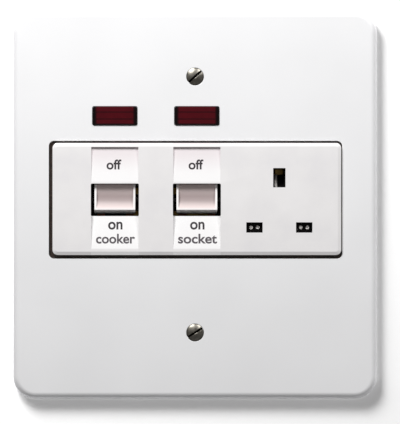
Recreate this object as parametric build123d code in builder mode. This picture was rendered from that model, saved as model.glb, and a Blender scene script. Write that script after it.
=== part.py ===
from build123d import *
from math import cos, radians, sin, tan
import os

# A flush cooker control unit: a pressed steel plate that carries a moulded insert with two
# double-pole see-saw switches and a shuttered three-pin socket, and two neon lenses above it.
# X runs to the right, Z up, and the front faces -Y. The wall is the plane y = 0, and every
# "h" below is a height off the wall towards the viewer, so y = -h.

# Front plate
plate_side = 16.85       # insert's end to the plate's edge
plate_tall = 173.5
plate_h = 5.5            # wall to front face
sheet = 1.5
plate_corner = 10.0
plate_edge = 3.0         # outer radius of the rolled rim
screw_pitch = 114.3      # two-gang box lugs, 4 1/2 in
window_gap_w = 2.2       # plate window larger than the insert, in all
window_gap_tall = 2.6
window_shift_x = -0.6    # the insert sits to the right and to the top of its window
window_shift_z = -0.35
window_corner = 2.4

# Moulded insert
module_w = 128.8
module_tall = 50.0
module_x = 0.8
module_z = 2.5
module_proud = 1.5       # above the plate
module_corner = 2.3
module_bevel = 1.5
module_bevel_drop = 0.5
face_wall = 3.0
flange_over_w = 3.6      # flange past the insert, each side
flange_over_foot = 9.0   # room for the studs
flange_over_top = 5.9    # stops below the lenses
stud_over_foot = 5.1
stud_over_top = 3.2
flange_t = 2.5
bay_pitch = 36.6         # switch to switch
socket_pitch = 36.8      # socket switch to socket
wall = 2.0

# Switch strips and rockers
strip_w = 21.0
strip_top = 23.2         # above the insert's centre
strip_bottom = -22.5
strip_deep_top = 1.0
strip_deep_low = 1.5
aperture_w = 21.4
aperture_tall = 14.5
aperture_z = 2.15
rocker_w = 18.2
rocker_half = 5.8        # half the face, along it
rocker_face = 6.0        # pivot to face
rocker_cheek = 0.9
rocker_dish = 1.4
rocker_wall = 1.5
rocker_skirt = 2.2       # pivot to the rear edge
rocker_room = 3.0        # pivot to the roof of the hollow
rocker_throw = 12.0      # degrees each side of level
pivot_h = 0.0
trunnion_r = 1.5
trunnion_clear = 0.08
trunnion_len = 3.3
rocker_box_wall = 2.4
rocker_box_depth = 4.5   # behind the pivot

# See-saw contacts
pole_x = 6.5
plunger_r = 1.5
plunger_clear = 0.08
plunger_tip_r = 1.2
plunger_reach = 9.5      # pivot to tip
plunger_seat = 3.5       # pivot to the plunger's head
boss_r = 2.5
boss_reach = 6.0
bar_t = 1.2
bar_w = 3.5
bar_arm = 12.0
bar_bend = 13.0          # degrees that each arm rises
bar_throw = 7.0
bar_clear = 0.25         # tip to bar, level
seat_clear = 0.08
button_r = 1.3
button_t = 0.4
contact_at = 10.6        # along the arm
fixed_button_t = 0.5

# Conductors
strip_t = 1.0
strip_wide = 3.5
web_t = 1.6

# Socket, to the British three-pin pattern
pin_x = 22.2             # line to neutral
pin_z = 22.2             # earth to the line of the other two
slot_w = 7.3
slot_tall = 4.6
slot_corner = 0.12
earth_w = 5.5
earth_tall = 8.6
pins_z = -10.2
line_pin_t = 3.97
line_pin_w = 6.35
earth_pin_t = 3.97
earth_pin_w = 7.92
earth_pin_len = 22.8
clip_t = 0.8
clip_pinch = 0.15        # the leaves stand this much nearer than the pin

# Shutter
shutter_t = 3.0
shutter_gap = 0.4
shutter_travel = 5.5
blade_tall = 6.0
blade_w = 32.0
stem_w = 9.6
shutter_window_w = 4.2
shutter_spring_r = 1.6
rivet_r = 0.85
rivet_proud = 0.4
rivet_out = 1.5          # rivet to the middle of its slot
rib_w = 1.0              # of the shutter's ramp
rib_proud = 0.7

# Terminals
terminal_w = 11.0
terminal_tall = 12.0
terminal_d = 10.0
terminal_dx = 8.5
terminal_bore_r = 3.0
earth_bore_r = 2.6
earth_bore_dx = 3.6
bore_forward = 0.8       # the cable holes lie this much in front of the block's middle
cable_clear = 0.3
pocket_clear = 0.15
clamp_r = 1.95
earth_block_w = 15.0

# Neon lenses
lens_w = 20.2
lens_tall = 8.6
lens_gap = 0.3
lens_z = 39.6
lens_proud = 0.6
lens_flange = 1.6
lens_flange_t = 1.2
carrier_wall = 1.4

# Fixings
stud_r = 1.5
stud_in = 12.0           # from the insert's ends
stud_clear = 0.2
nut_af = 5.5
nut_t = 2.4
washer_t = 0.5
washer_r = 2.7
ear_t = 2.0              # of the neon carrier
box_screw_r = 1.75
box_neck_r = 1.5         # plain shank under the head
box_screw_reach = 22.0   # behind the wall plane
box_head_r = 3.9
box_head_deep = 2.0
box_head_dome = 1.0
slot_cut_w = 0.9

# Worked out from the sizes above
inner_h = plate_h - sheet
face_h = plate_h + module_proud
pocket_h = face_h - face_wall
flange_back = inner_h - flange_t
bays = [module_x - bay_pitch, module_x]
socket_x = module_x + socket_pitch
wall_xs = [module_x - bay_pitch / 2, module_x + socket_pitch / 2]
plate_w = module_w + 2 * plate_side
earth_z = pins_z + pin_z
line_x = socket_x + pin_x / 2
neutral_x = socket_x - pin_x / 2
knife_h = pivot_h - (plunger_reach + bar_clear + bar_t)
strip_h = knife_h - seat_clear
ledge_h = strip_h - strip_t
back_h = ledge_h - web_t
terminal_h = back_h
base_w = module_w - 2.0
base_tall = module_tall - 3.0
room_edges = [module_x - base_w / 2 + wall / 2, *wall_xs, module_x + base_w / 2 - wall / 2]
bay_rooms = [((left + right) / 2, right - left - wall) for left, right in zip(room_edges, room_edges[1:])]
flange_w = module_w + 2 * flange_over_w
flange_tall = module_tall + flange_over_top + flange_over_foot
flange_z = module_z + (flange_over_top - flange_over_foot) / 2
stud_foot_z = module_z - module_tall / 2 - stud_over_foot
stud_top_z = module_z + module_tall / 2 + stud_over_top
stud_places = [(module_x + sx * (module_w / 2 - stud_in), z) for sx in (-1, 1) for z in (stud_foot_z, stud_top_z)]
carrier_studs = [(bays[0] - lens_w / 2 - 7, lens_z), (bays[1] + lens_w / 2 + 7, lens_z)]
base_screw_places = [
    (module_x + sx * (base_w / 2 - wall - 2.4), module_z + sz * (base_tall / 2 - wall - 2.4))
    for sx in (-1, 1)
    for sz in (-1, 1)
]
rocker_tilt = -rocker_throw
bar_tilt = bar_throw
load_z = module_z + base_tall / 2 - wall - terminal_tall / 2
supply_z = module_z - base_tall / 2 + wall + terminal_tall / 2
earth_terminal_x = socket_x + 17.5
earth_terminal_z = load_z


def level(h):
    """A plane at height h off the wall, looking at the viewer."""
    return Plane.XZ.offset(h)


def section(x, z, h, tilt=0.0):
    """A plane across X: its own x runs up, its own y towards the viewer, turned by tilt degrees."""
    up = (0, -sin(radians(tilt)), cos(radians(tilt)))
    return Plane(origin=(x, -h, z), x_dir=up, z_dir=(1, 0, 0))


def finish(part, name):
    """Names a finished piece and writes it."""
    part.label = name
    export_step(part, f"parts/{name}.step")


os.makedirs("parts", exist_ok=True)


# Front plate: one pressing with a rolled rim, hollow behind. The screw holes are dished so that the
# countersunk heads sit in the sheet, and the studs for the insert are welded to the back.
dish_h = inner_h - box_head_deep + sheet * 0.4
with BuildPart() as front_plate:
    with BuildSketch(level(0)):
        RectangleRounded(plate_w, plate_tall, plate_corner)
    extrude(amount=plate_h)
    fillet(front_plate.faces().sort_by(Axis.Y)[0].edges(), plate_edge)
    offset(amount=-sheet, openings=front_plate.faces().sort_by(Axis.Y)[-1])
    for z in (-screw_pitch / 2, screw_pitch / 2):
        with BuildSketch(level(inner_h)):
            with Locations((0, z)):
                Circle(box_head_r + sheet)
        extrude(amount=-(inner_h - dish_h), taper=30)
    with BuildSketch(level(inner_h)) as studs:
        with Locations(*stud_places, *carrier_studs):
            Circle(stud_r)
    extrude(amount=-(flange_t + nut_t + 1.5))
    with BuildSketch(level(inner_h)):
        with Locations((module_x + window_shift_x, module_z + window_shift_z)):
            RectangleRounded(module_w + window_gap_w, module_tall + window_gap_tall, window_corner)
        with Locations((bays[0], lens_z), (bays[1], lens_z)):
            RectangleRounded(lens_w, lens_tall, 0.8)
    extrude(amount=sheet, mode=Mode.SUBTRACT)
    for z in (-screw_pitch / 2, screw_pitch / 2):
        with BuildSketch(section(0, z, plate_h)):
            with BuildLine():
                Polyline(
                    (0, 0.5),
                    (box_head_r + 0.15, 0.5),
                    (box_head_r + 0.15, 0),
                    (box_screw_r + 0.35, -box_head_deep - 0.1),
                    (box_screw_r + 0.35, -plate_h),
                    (0, -plate_h),
                    close=True,
                )
            make_face()
        revolve(axis=Axis((0, 0, z), (0, 1, 0)), mode=Mode.SUBTRACT)
finish(front_plate.part, "front_plate")


# Moulded cover of the insert: the face stands through the plate's window, its flange lies behind
# the plate, and open boxes behind the two rocker openings carry the trunnions.
strip_top_z = module_z + strip_top
strip_bottom_z = module_z + strip_bottom
aperture_top = aperture_z + aperture_tall / 2
aperture_bottom = aperture_z - aperture_tall / 2
box_out_w = aperture_w + 2 * rocker_box_wall
box_out_tall = aperture_tall + 2 * 1.6
box_end_h = pivot_h - rocker_box_depth
shutter_front = pocket_h - shutter_gap
shutter_back = shutter_front - shutter_t
with BuildPart() as module_cover:
    with BuildSketch(level(inner_h)):
        with Locations((module_x, module_z)):
            RectangleRounded(module_w, module_tall, module_corner)
    extrude(amount=face_h - inner_h)
    chamfer(module_cover.faces().sort_by(Axis.Y)[0].edges(), module_bevel_drop, module_bevel)
    with BuildSketch(level(inner_h)):
        with Locations((module_x, flange_z)):
            RectangleRounded(flange_w, flange_tall, 4)
        with Locations(*stud_places):
            Circle(stud_r + stud_clear, mode=Mode.SUBTRACT)
    extrude(amount=-flange_t)
    # the three bays, hollow from behind
    with BuildSketch(level(flange_back)):
        for x, width in bay_rooms:
            with Locations((x, module_z)):
                Rectangle(width, base_tall - 2 * wall)
    extrude(amount=pocket_h - flange_back, mode=Mode.SUBTRACT)
    # pillars for the base's screws
    with BuildSketch(level(flange_back)):
        with Locations(*base_screw_places):
            Circle(3.2)
    extrude(amount=pocket_h - flange_back)
    # rocker boxes
    with BuildSketch(level(pocket_h)):
        with Locations((bays[0], aperture_z), (bays[1], aperture_z)):
            Rectangle(box_out_w, box_out_tall)
    extrude(amount=box_end_h - pocket_h)
    with BuildSketch(level(box_end_h)):
        with Locations((bays[0], aperture_z), (bays[1], aperture_z)):
            RectangleRounded(aperture_w, aperture_tall, 0.6)
    extrude(amount=face_h - box_end_h, mode=Mode.SUBTRACT)
    # strips: the upper one ramps out to a lip over the rocker, the lower one ramps out to its foot
    for x in bays:
        with BuildSketch(section(x, 0, face_h)):
            with BuildLine():
                Polyline(
                    (strip_top_z, 1),
                    (strip_top_z, -strip_deep_top),
                    (aperture_top, 0),
                    (aperture_top, 1),
                    close=True,
                )
            make_face()
            with BuildLine():
                Polyline(
                    (aperture_bottom + 0.01, 1),
                    (aperture_bottom + 0.01, -strip_deep_low),
                    (strip_bottom_z, 0),
                    (strip_bottom_z, 1),
                    close=True,
                )
            make_face()
        extrude(amount=strip_w / 2, both=True, mode=Mode.SUBTRACT)
    # trunnion slots, open to the back so that the rockers go in before the base closes them
    for x in bays:
        with BuildSketch(section(x, aperture_z, pivot_h)):
            Circle(trunnion_r + trunnion_clear)
            with Locations((0, -rocker_box_depth / 2)):
                Rectangle(2 * (trunnion_r + trunnion_clear), rocker_box_depth + 0.02)
        extrude(amount=box_out_w / 2 + 0.1, both=True, mode=Mode.SUBTRACT)
    # socket slots
    with BuildSketch(level(face_h)) as slots:
        with Locations((neutral_x, pins_z), (line_x, pins_z)):
            RectangleRounded(slot_w, slot_tall, slot_corner)
        with Locations((socket_x, earth_z)):
            RectangleRounded(earth_w, earth_tall, slot_corner)
    extrude(amount=-face_wall, mode=Mode.SUBTRACT)
    # runners that the shutter slides between
    with BuildSketch(level(pocket_h)):
        for sx in (-1, 1):
            with Locations((socket_x + sx * (blade_w / 2 + 0.15 + 0.6), pins_z - shutter_travel / 2)):
                Rectangle(1.2, blade_tall + shutter_travel + 0.6)
    extrude(amount=flange_back - pocket_h)
    # screw holes in the pillars
    with BuildSketch(level(flange_back)):
        with Locations(*base_screw_places):
            Circle(1.35)
    extrude(amount=pocket_h - flange_back + 1.0, mode=Mode.SUBTRACT)
finish(module_cover.part, "module_cover")


# Rockers: dished on the face between two thin cheeks, hollow behind, with two bosses for the
# plungers and a trunnion on each end. They rest at OFF, with the top pressed in.
for x, name in ((bays[0], "cooker_rocker"), (bays[1], "socket_rocker")):
    side = section(x, aperture_z, pivot_h, rocker_tilt)
    with BuildPart() as rocker:
        with BuildSketch(side):
            with BuildLine():
                Polyline(
                    (-rocker_half, rocker_face),
                    (rocker_half, rocker_face),
                    (rocker_half + 0.5, 0),
                    (rocker_half - 0.8, -rocker_skirt),
                    (-rocker_half + 0.8, -rocker_skirt),
                    (-rocker_half - 0.5, 0),
                    close=True,
                )
            make_face()
        extrude(amount=rocker_w / 2, both=True)
        with BuildSketch(side):
            with BuildLine():
                dish = ThreePointArc(
                    (-rocker_half + 0.7, rocker_face),
                    (0, rocker_face - rocker_dish),
                    (rocker_half - 0.7, rocker_face),
                )
                Line(dish @ 1, dish @ 0)
            make_face()
        extrude(amount=rocker_w / 2 - rocker_cheek, both=True, mode=Mode.SUBTRACT)
        with BuildSketch(side):
            with Locations((0, (rocker_room - rocker_skirt - 1) / 2)):
                Rectangle(2 * (rocker_half - rocker_wall), rocker_room + rocker_skirt + 1)
        extrude(amount=rocker_w / 2 - rocker_wall, both=True, mode=Mode.SUBTRACT)
        with BuildSketch(Plane(origin=side.from_local_coords((0, -boss_reach, 0)), x_dir=(1, 0, 0), z_dir=side.y_dir)):
            with Locations((-pole_x, 0), (pole_x, 0)):
                Circle(boss_r)
        extrude(amount=boss_reach + rocker_room + 0.3)
        with BuildSketch(Plane(origin=side.from_local_coords((0, -boss_reach, 0)), x_dir=(1, 0, 0), z_dir=side.y_dir)):
            with Locations((-pole_x, 0), (pole_x, 0)):
                Circle(plunger_r + plunger_clear)
        extrude(amount=boss_reach + rocker_room - 0.4, mode=Mode.SUBTRACT)
        for sx in (-1, 1):
            with BuildSketch(section(x + sx * rocker_w / 2, aperture_z, pivot_h, rocker_tilt)):
                Circle(trunnion_r)
            extrude(amount=sx * trunnion_len)
    finish(rocker.part, name)


# Sprung plungers: a round-nosed pin in each boss, pushed on to the see-saw bar by its spring.
for x, name in ((bays[0], "cooker"), (bays[1], "socket")):
    with BuildPart() as plungers:
        for sx in (-1, 1):
            side = section(x + sx * pole_x, aperture_z, pivot_h, rocker_tilt)
            with BuildSketch(side):
                with BuildLine():
                    nose = -(plunger_reach - plunger_tip_r)
                    Polyline((0, nose - plunger_tip_r), (0, -plunger_seat), (plunger_r, -plunger_seat), (plunger_r, nose + 0.6), (plunger_tip_r, nose))
                    ThreePointArc(
                        (plunger_tip_r, nose),
                        (plunger_tip_r * sin(radians(45)), nose - plunger_tip_r * sin(radians(45))),
                        (0, nose - plunger_tip_r),
                    )
                make_face()
            revolve(axis=Axis(side.origin, side.y_dir))
    finish(plungers.part, f"{name}_plungers")
    with BuildPart() as springs:
        turns = 3
        top, foot = rocker_room - 0.5, -plunger_seat + 0.02
        pitch = (top - foot) / turns
        for sx in (-1, 1):
            side = section(x + sx * pole_x, aperture_z, pivot_h, rocker_tilt)
            with BuildSketch(side):
                with BuildLine():
                    coil = [(0.75, foot)]
                    for i in range(turns):
                        coil.append((1.05, foot + pitch * i))
                        coil.append((1.4, foot + pitch * (i + 0.5)))
                    coil.append((1.05, top))
                    coil.append((0.75, top))
                    Polyline(*coil, close=True)
                make_face()
            revolve(axis=Axis(side.origin, side.y_dir))
    finish(springs.part, f"{name}_plunger_springs")


# See-saw bars: bent copper strips that rock on the saddles, with a silver button under the upper end.
for x, name in ((bays[0], "cooker_moving_contacts"), (bays[1], "socket_moving_contacts")):
    with BuildPart() as bars:
        rise = bar_arm * tan(radians(bar_bend))
        for sx in (-1, 1):
            px = x + sx * pole_x
            with BuildSketch(section(px, aperture_z, knife_h, bar_tilt)):
                with BuildLine():
                    Polyline(
                        (-bar_arm, rise),
                        (-0.3, 0.04),
                        (0.3, 0.04),
                        (bar_arm, rise),
                        (bar_arm, rise + bar_t),
                        (0, bar_t),
                        (-bar_arm, rise + bar_t),
                        close=True,
                    )
                make_face()
            extrude(amount=bar_w / 2, both=True)
            arm = section(px, aperture_z, knife_h, bar_tilt + bar_bend)
            with BuildSketch(Plane(origin=arm.from_local_coords((contact_at, 0.1, 0)), x_dir=(1, 0, 0), z_dir=-arm.y_dir)):
                Circle(button_r)
            extrude(amount=button_t + 0.1)
    finish(bars.part, name)


# Supply strips: each runs from its terminal past both switches, and is the saddle of one pole in each.
low_z = supply_z + terminal_tall / 2 - 3.0
with BuildPart() as line_bar:
    with BuildSketch(level(ledge_h)):
        left, right = bays[0] - pole_x, bays[1] - pole_x
        with Locations(((left + right) / 2, aperture_z + 4.0)):
            Rectangle(right - left + strip_wide, 3.0)
        with Locations((left, (low_z + aperture_z + 5.5) / 2)):
            Rectangle(strip_wide, aperture_z + 5.5 - low_z)
        with Locations((right, aperture_z + 2.0)):
            Rectangle(strip_wide, 7.0)
    extrude(amount=strip_t)
    with BuildSketch(level(ledge_h + strip_t)):
        with Locations((left, low_z + strip_t / 2)):
            Rectangle(strip_wide, strip_t)
    extrude(amount=-(strip_t + web_t))
finish(line_bar.part, "line_bar")

with BuildPart() as neutral_bar:
    with BuildSketch(level(ledge_h)):
        left, right = bays[0] + pole_x, bays[1] + pole_x
        with Locations(((left + right) / 2, aperture_z - 6.5)):
            Rectangle(right - left + strip_wide, 3.0)
        with Locations((left, (low_z + aperture_z + 1.8) / 2)):
            Rectangle(strip_wide, aperture_z + 1.8 - low_z)
        with Locations((right, aperture_z - 3.1)):
            Rectangle(strip_wide, 9.8)
    extrude(amount=strip_t)
    with BuildSketch(level(ledge_h + strip_t)):
        with Locations((left, low_z + strip_t / 2)):
            Rectangle(strip_wide, strip_t)
    extrude(amount=-(strip_t + web_t))
finish(neutral_bar.part, "neutral_bar")


# Fixed contacts of the cooker switch, each with its strip back to a load terminal.
fixed_z = aperture_z + contact_at * cos(radians(bar_bend - bar_throw)) - 0.1
high_z = load_z - terminal_tall / 2 + 3.0
for sx, name in ((-1, "cooker_line_contact"), (1, "cooker_neutral_contact")):
    x = bays[0] + sx * pole_x
    with BuildPart() as contact:
        with BuildSketch(level(ledge_h)):
            with Locations((x, (fixed_z - 2.2 + high_z + 1.0) / 2)):
                Rectangle(strip_wide, high_z + 1.0 - fixed_z + 2.2)
        extrude(amount=strip_t)
        with BuildSketch(level(ledge_h)):
            with Locations((x, high_z + 1.0 - strip_t / 2)):
                Rectangle(strip_wide, strip_t)
        extrude(amount=-web_t)
        with BuildSketch(level(ledge_h + strip_t)):
            with Locations((x, fixed_z)):
                Circle(button_r)
        extrude(amount=fixed_button_t)
    finish(contact.part, name)


# Pin clips: two sprung leaves with flared mouths, on a strap from the socket switch's fixed contact.
def leaf(side, grip, flare, foot, waist, tip):
    """Outline of one leaf across the pin: side is -1 or 1, grip is half the gap, heights run from foot to tip."""
    inner = [(grip + flare, foot), (grip, waist), (grip, tip - 2.0), (grip + flare, tip)]
    outer = [(across + clip_t, h) for across, h in reversed(inner)]
    return [(side * across, h) for across, h in inner + outer]


clip_tip = -1.2
line_strap_z = load_z + 1.0
neutral_strap_z = aperture_z + contact_at
line_run_x = line_x + line_pin_w / 2 + 2.6
neutral_run_x = neutral_x - line_pin_w / 2 - 1.4
for name, clip_x, run_x, run_z, pole in (
    ("socket_line_clip", line_x, line_run_x, line_strap_z, bays[1] - pole_x),
    ("socket_neutral_clip", neutral_x, neutral_run_x, neutral_strap_z, bays[1] + pole_x),
):
    side = 1 if run_x > clip_x else -1
    outer_x = run_x + side * 1.5
    inner_x = clip_x - side * line_pin_w / 2
    with BuildPart() as clip:
        with BuildSketch(level(ledge_h)):
            with Locations((pole, (fixed_z - 2.2 + run_z + 1.5) / 2)):
                Rectangle(strip_wide, run_z + 1.5 - fixed_z + 2.2)
            with Locations(((pole + run_x) / 2, run_z)):
                Rectangle(run_x - pole + 3.0, 3.0)
            with Locations((run_x, (run_z + pins_z) / 2)):
                Rectangle(3.0, run_z - pins_z + 3.0)
            with Locations(((outer_x + inner_x) / 2, pins_z)):
                Rectangle(abs(outer_x - inner_x), 7.6)
        extrude(amount=strip_t)
        with BuildSketch(level(ledge_h + strip_t)):
            with Locations((pole, fixed_z)):
                Circle(button_r)
        extrude(amount=fixed_button_t)
        with BuildSketch(section(clip_x, pins_z, 0)):
            foot = ledge_h + strip_t
            for side in (-1, 1):
                with BuildLine():
                    Polyline(*leaf(side, line_pin_t / 2 - clip_pinch, 1.0, foot, foot + 4.0, clip_tip), close=True)
                make_face()
        extrude(amount=line_pin_w / 2, both=True)
    finish(clip.part, name)

earth_foot = face_h - earth_pin_len - 1.5
earth_tip = -5.2
with BuildPart() as earth_clip:
    with BuildSketch(level(earth_foot)):
        with Locations((socket_x, earth_z)):
            Rectangle(earth_pin_t + 3.4, earth_pin_w)
        strap_end = earth_terminal_x - earth_block_w / 2
        with Locations(((socket_x + strap_end) / 2, earth_z)):
            Rectangle(strap_end - socket_x, 5.0)
    extrude(amount=strip_t)
    with BuildSketch(Plane(origin=(socket_x, 0, earth_z), x_dir=(1, 0, 0), z_dir=(0, 0, 1))):
        foot = earth_foot + strip_t
        for side in (-1, 1):
            outline = leaf(side, earth_pin_t / 2 - clip_pinch, 0.9, foot, foot + 3.5, earth_tip)
            with BuildLine():
                Polyline(*[(across, -h) for across, h in outline], close=True)
            make_face()
    extrude(amount=earth_pin_w / 2, both=True)
finish(earth_clip.part, "earth_clip")


# Shutter: two blades behind the line and neutral slots on a stem whose ramp lies behind the earth
# slot, so that only the earth pin pushes it down. Its spring stands in a window of the stem.
window_bottom = pins_z + blade_tall / 2 + 0.2
post_top = window_bottom + 0.3 + 2.2
window_top = earth_z - earth_tall / 2 - 2.6
ramp_top = earth_z - earth_pin_w / 2 + shutter_travel - 0.05
ramp_foot = ramp_top - shutter_t - 3.4
with BuildPart() as shutter:
    with BuildSketch(level(shutter_back)):
        with Locations((socket_x, pins_z)):
            RectangleRounded(blade_w, blade_tall, 0.8)
        with Locations((socket_x, (pins_z + ramp_foot) / 2)):
            Rectangle(stem_w, ramp_foot - pins_z)
        with Locations((socket_x, (window_bottom + window_top) / 2)):
            Rectangle(shutter_window_w, window_top - window_bottom, mode=Mode.SUBTRACT)
    extrude(amount=shutter_t)
    with BuildSketch(section(socket_x, 0, 0)):
        with BuildLine():
            Polyline(
                (ramp_foot - 0.01, shutter_front),
                (ramp_top, shutter_front - (ramp_top - ramp_foot)),
                (ramp_top, shutter_back - 4.4),
                (ramp_foot + 1.5, shutter_back - 4.4),
                (ramp_foot - 2.0, shutter_back),
                (ramp_foot - 2.0, shutter_front),
                close=True,
            )
        make_face()
    extrude(amount=stem_w / 2 - 1.2, both=True)
    # rib along the ramp, off its middle
    slope = 45
    ramp_plane = Plane(
        origin=(socket_x - 1.5, -shutter_front, ramp_foot),
        x_dir=(1, 0, 0),
        z_dir=(0, -cos(radians(slope)), sin(radians(slope))),
    )
    with BuildSketch(ramp_plane.offset(-0.3)):
        with Locations((0, (ramp_top - ramp_foot) / cos(radians(slope)) / 2)):
            RectangleRounded(rib_w, (ramp_top - ramp_foot) / cos(radians(slope)) - 1.0, 0.45)
    extrude(amount=rib_proud + 0.3)
    # holes for the rivets
    with BuildSketch(level(shutter_front)):
        with Locations(*[(x + s * rivet_out, pins_z) for x in (neutral_x, line_x) for s in (-1, 1)]):
            Circle(rivet_r * 0.6)
    extrude(amount=-shutter_t, mode=Mode.SUBTRACT)
finish(shutter.part, "shutter")

# Rivets through the shutter's blades: the domed heads that glint behind the line and neutral slots.
rivet_shank = rivet_r * 0.6 - 0.02
with BuildPart() as shutter_rivets:
    for x in (neutral_x, line_x):
        for s in (-1, 1):
            with BuildSketch(section(x + s * rivet_out, pins_z, shutter_front)):
                with BuildLine():
                    Polyline(
                        (rivet_r, 0),
                        (rivet_shank, 0),
                        (rivet_shank, -shutter_t),
                        (0, -shutter_t),
                        (0, rivet_proud),
                    )
                    ThreePointArc((0, rivet_proud), (rivet_r * 0.6, rivet_proud * 0.66), (rivet_r, 0))
                make_face()
            revolve(axis=Axis((x + s * rivet_out, 0, pins_z), (0, 1, 0)))
finish(shutter_rivets.part, "shutter_rivets")

with BuildPart() as shutter_spring:
    turns = 5
    pitch = (window_top - 0.05 - post_top) / turns
    mid_h = (shutter_front + shutter_back) / 2
    with BuildSketch(section(socket_x, 0, mid_h)):
        with BuildLine():
            coil = [(post_top, 0.8)]
            for i in range(turns):
                coil.append((post_top + pitch * i, 1.15))
                coil.append((post_top + pitch * (i + 0.5), shutter_spring_r))
            coil.append((post_top + pitch * turns, 1.15))
            coil.append((post_top + pitch * turns, 0.8))
            Polyline(*coil, close=True)
        make_face()
    revolve(axis=Axis((socket_x, -mid_h, 0), (0, 0, 1)))
finish(shutter_spring.part, "shutter_spring")


# Base moulding: three bays open to the front, a web that carries the strips, and a well at the back
# for the earth contact. The housings for the terminals stand on its back.
housing_h = terminal_h - terminal_d + 2.0
cable_y = -(terminal_h - terminal_d / 2 + bore_forward)
terminal_places = {
    "supply_line_terminal": (bays[0] - terminal_dx, supply_z, -1),
    "supply_neutral_terminal": (bays[0] + terminal_dx, supply_z, -1),
    "load_line_terminal": (bays[0] - terminal_dx, load_z, 1),
    "load_neutral_terminal": (bays[0] + terminal_dx, load_z, 1),
}
post_w = 2 * (trunnion_r + trunnion_clear) - 0.16
well_w = earth_pin_t + 7.0
well_tall = earth_pin_w + 1.6
with BuildPart() as base_moulding:
    with BuildSketch(level(flange_back)):
        with Locations((module_x, module_z)):
            RectangleRounded(base_w, base_tall, 3)
    extrude(amount=back_h - flange_back)
    with BuildSketch(level(ledge_h)):
        for x, width in bay_rooms:
            with Locations((x, module_z)):
                Rectangle(width, base_tall - 2 * wall)
    extrude(amount=flange_back - ledge_h, mode=Mode.SUBTRACT)
    # corner pillars under those of the cover
    with BuildSketch(level(back_h)):
        with Locations(*base_screw_places):
            Circle(3.2)
    extrude(amount=flange_back - back_h)
    # well for the earth contact and the slot for its strap
    with BuildSketch(level(back_h)):
        with Locations((socket_x, earth_z)):
            RectangleRounded(well_w + 2 * wall, well_tall + 2 * wall, 1.5)
    extrude(amount=housing_h - back_h)
    with BuildSketch(level(ledge_h)):
        with Locations((socket_x, earth_z)):
            Rectangle(well_w, well_tall)
    extrude(amount=earth_foot - ledge_h, mode=Mode.SUBTRACT)
    with BuildSketch(level(earth_foot)):
        with Locations(((socket_x + earth_terminal_x) / 2, earth_z)):
            Rectangle(earth_terminal_x - socket_x, 5.3)
    extrude(amount=strip_t + 0.15, mode=Mode.SUBTRACT)
    # slots in the web for the strips' legs
    with BuildSketch(level(ledge_h)):
        for sx in (-1, 1):
            with Locations((bays[0] + sx * pole_x, low_z + strip_t / 2), (bays[0] + sx * pole_x, high_z + 1.0 - strip_t / 2)):
                Rectangle(strip_wide + 0.2, strip_t + 0.2)
    extrude(amount=-web_t, mode=Mode.SUBTRACT)
    # notches in the bay walls where the strips pass
    with BuildSketch(level(ledge_h)):
        for x, z in zip(sorted(wall_xs * 2), (aperture_z + 4.0, aperture_z - 6.5, line_strap_z, neutral_strap_z)):
            with Locations((x, z)):
                Rectangle(wall + 1, 3.3)
    extrude(amount=strip_t + 0.15, mode=Mode.SUBTRACT)
    # posts that close the trunnion slots
    for x in bays:
        for sx in (-1, 1):
            with BuildSketch(level(ledge_h)):
                with Locations((x + sx * (aperture_w / 2 + rocker_box_wall / 2), aperture_z)):
                    Rectangle(rocker_box_wall - 0.3, post_w)
            extrude(amount=pivot_h - trunnion_r - trunnion_clear - ledge_h)
    # stop ribs under the lower ends of the see-saw bars
    rib_h = knife_h + (bar_arm - 1.5) * tan(radians(bar_bend - bar_throw)) - 0.15
    with BuildSketch(level(ledge_h)):
        for x in bays:
            with Locations((x, aperture_z - bar_arm + 1.0)):
                Rectangle(2 * pole_x + bar_w, 1.4)
        with Locations((bays[0] - pole_x, aperture_z - bar_arm + 1.0), (bays[0] + pole_x, aperture_z - bar_arm + 1.0)):
            Rectangle(strip_wide + 0.3, 1.6, mode=Mode.SUBTRACT)
    extrude(amount=rib_h - ledge_h)
    # post that the shutter's spring stands on
    with BuildSketch(level(ledge_h)):
        with Locations((socket_x, post_top - 1.1)):
            Rectangle(shutter_window_w - 0.4, 2.2)
    extrude(amount=shutter_front - 0.2 - ledge_h)
    # screw holes and their counterbores
    with BuildSketch(level(back_h)):
        with Locations(*base_screw_places):
            Circle(1.7)
    extrude(amount=flange_back - back_h, mode=Mode.SUBTRACT)
    with BuildSketch(level(back_h)):
        with Locations(*base_screw_places):
            Circle(2.9)
    extrude(amount=3.0, mode=Mode.SUBTRACT)
finish(base_moulding.part, "base_moulding")

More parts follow.
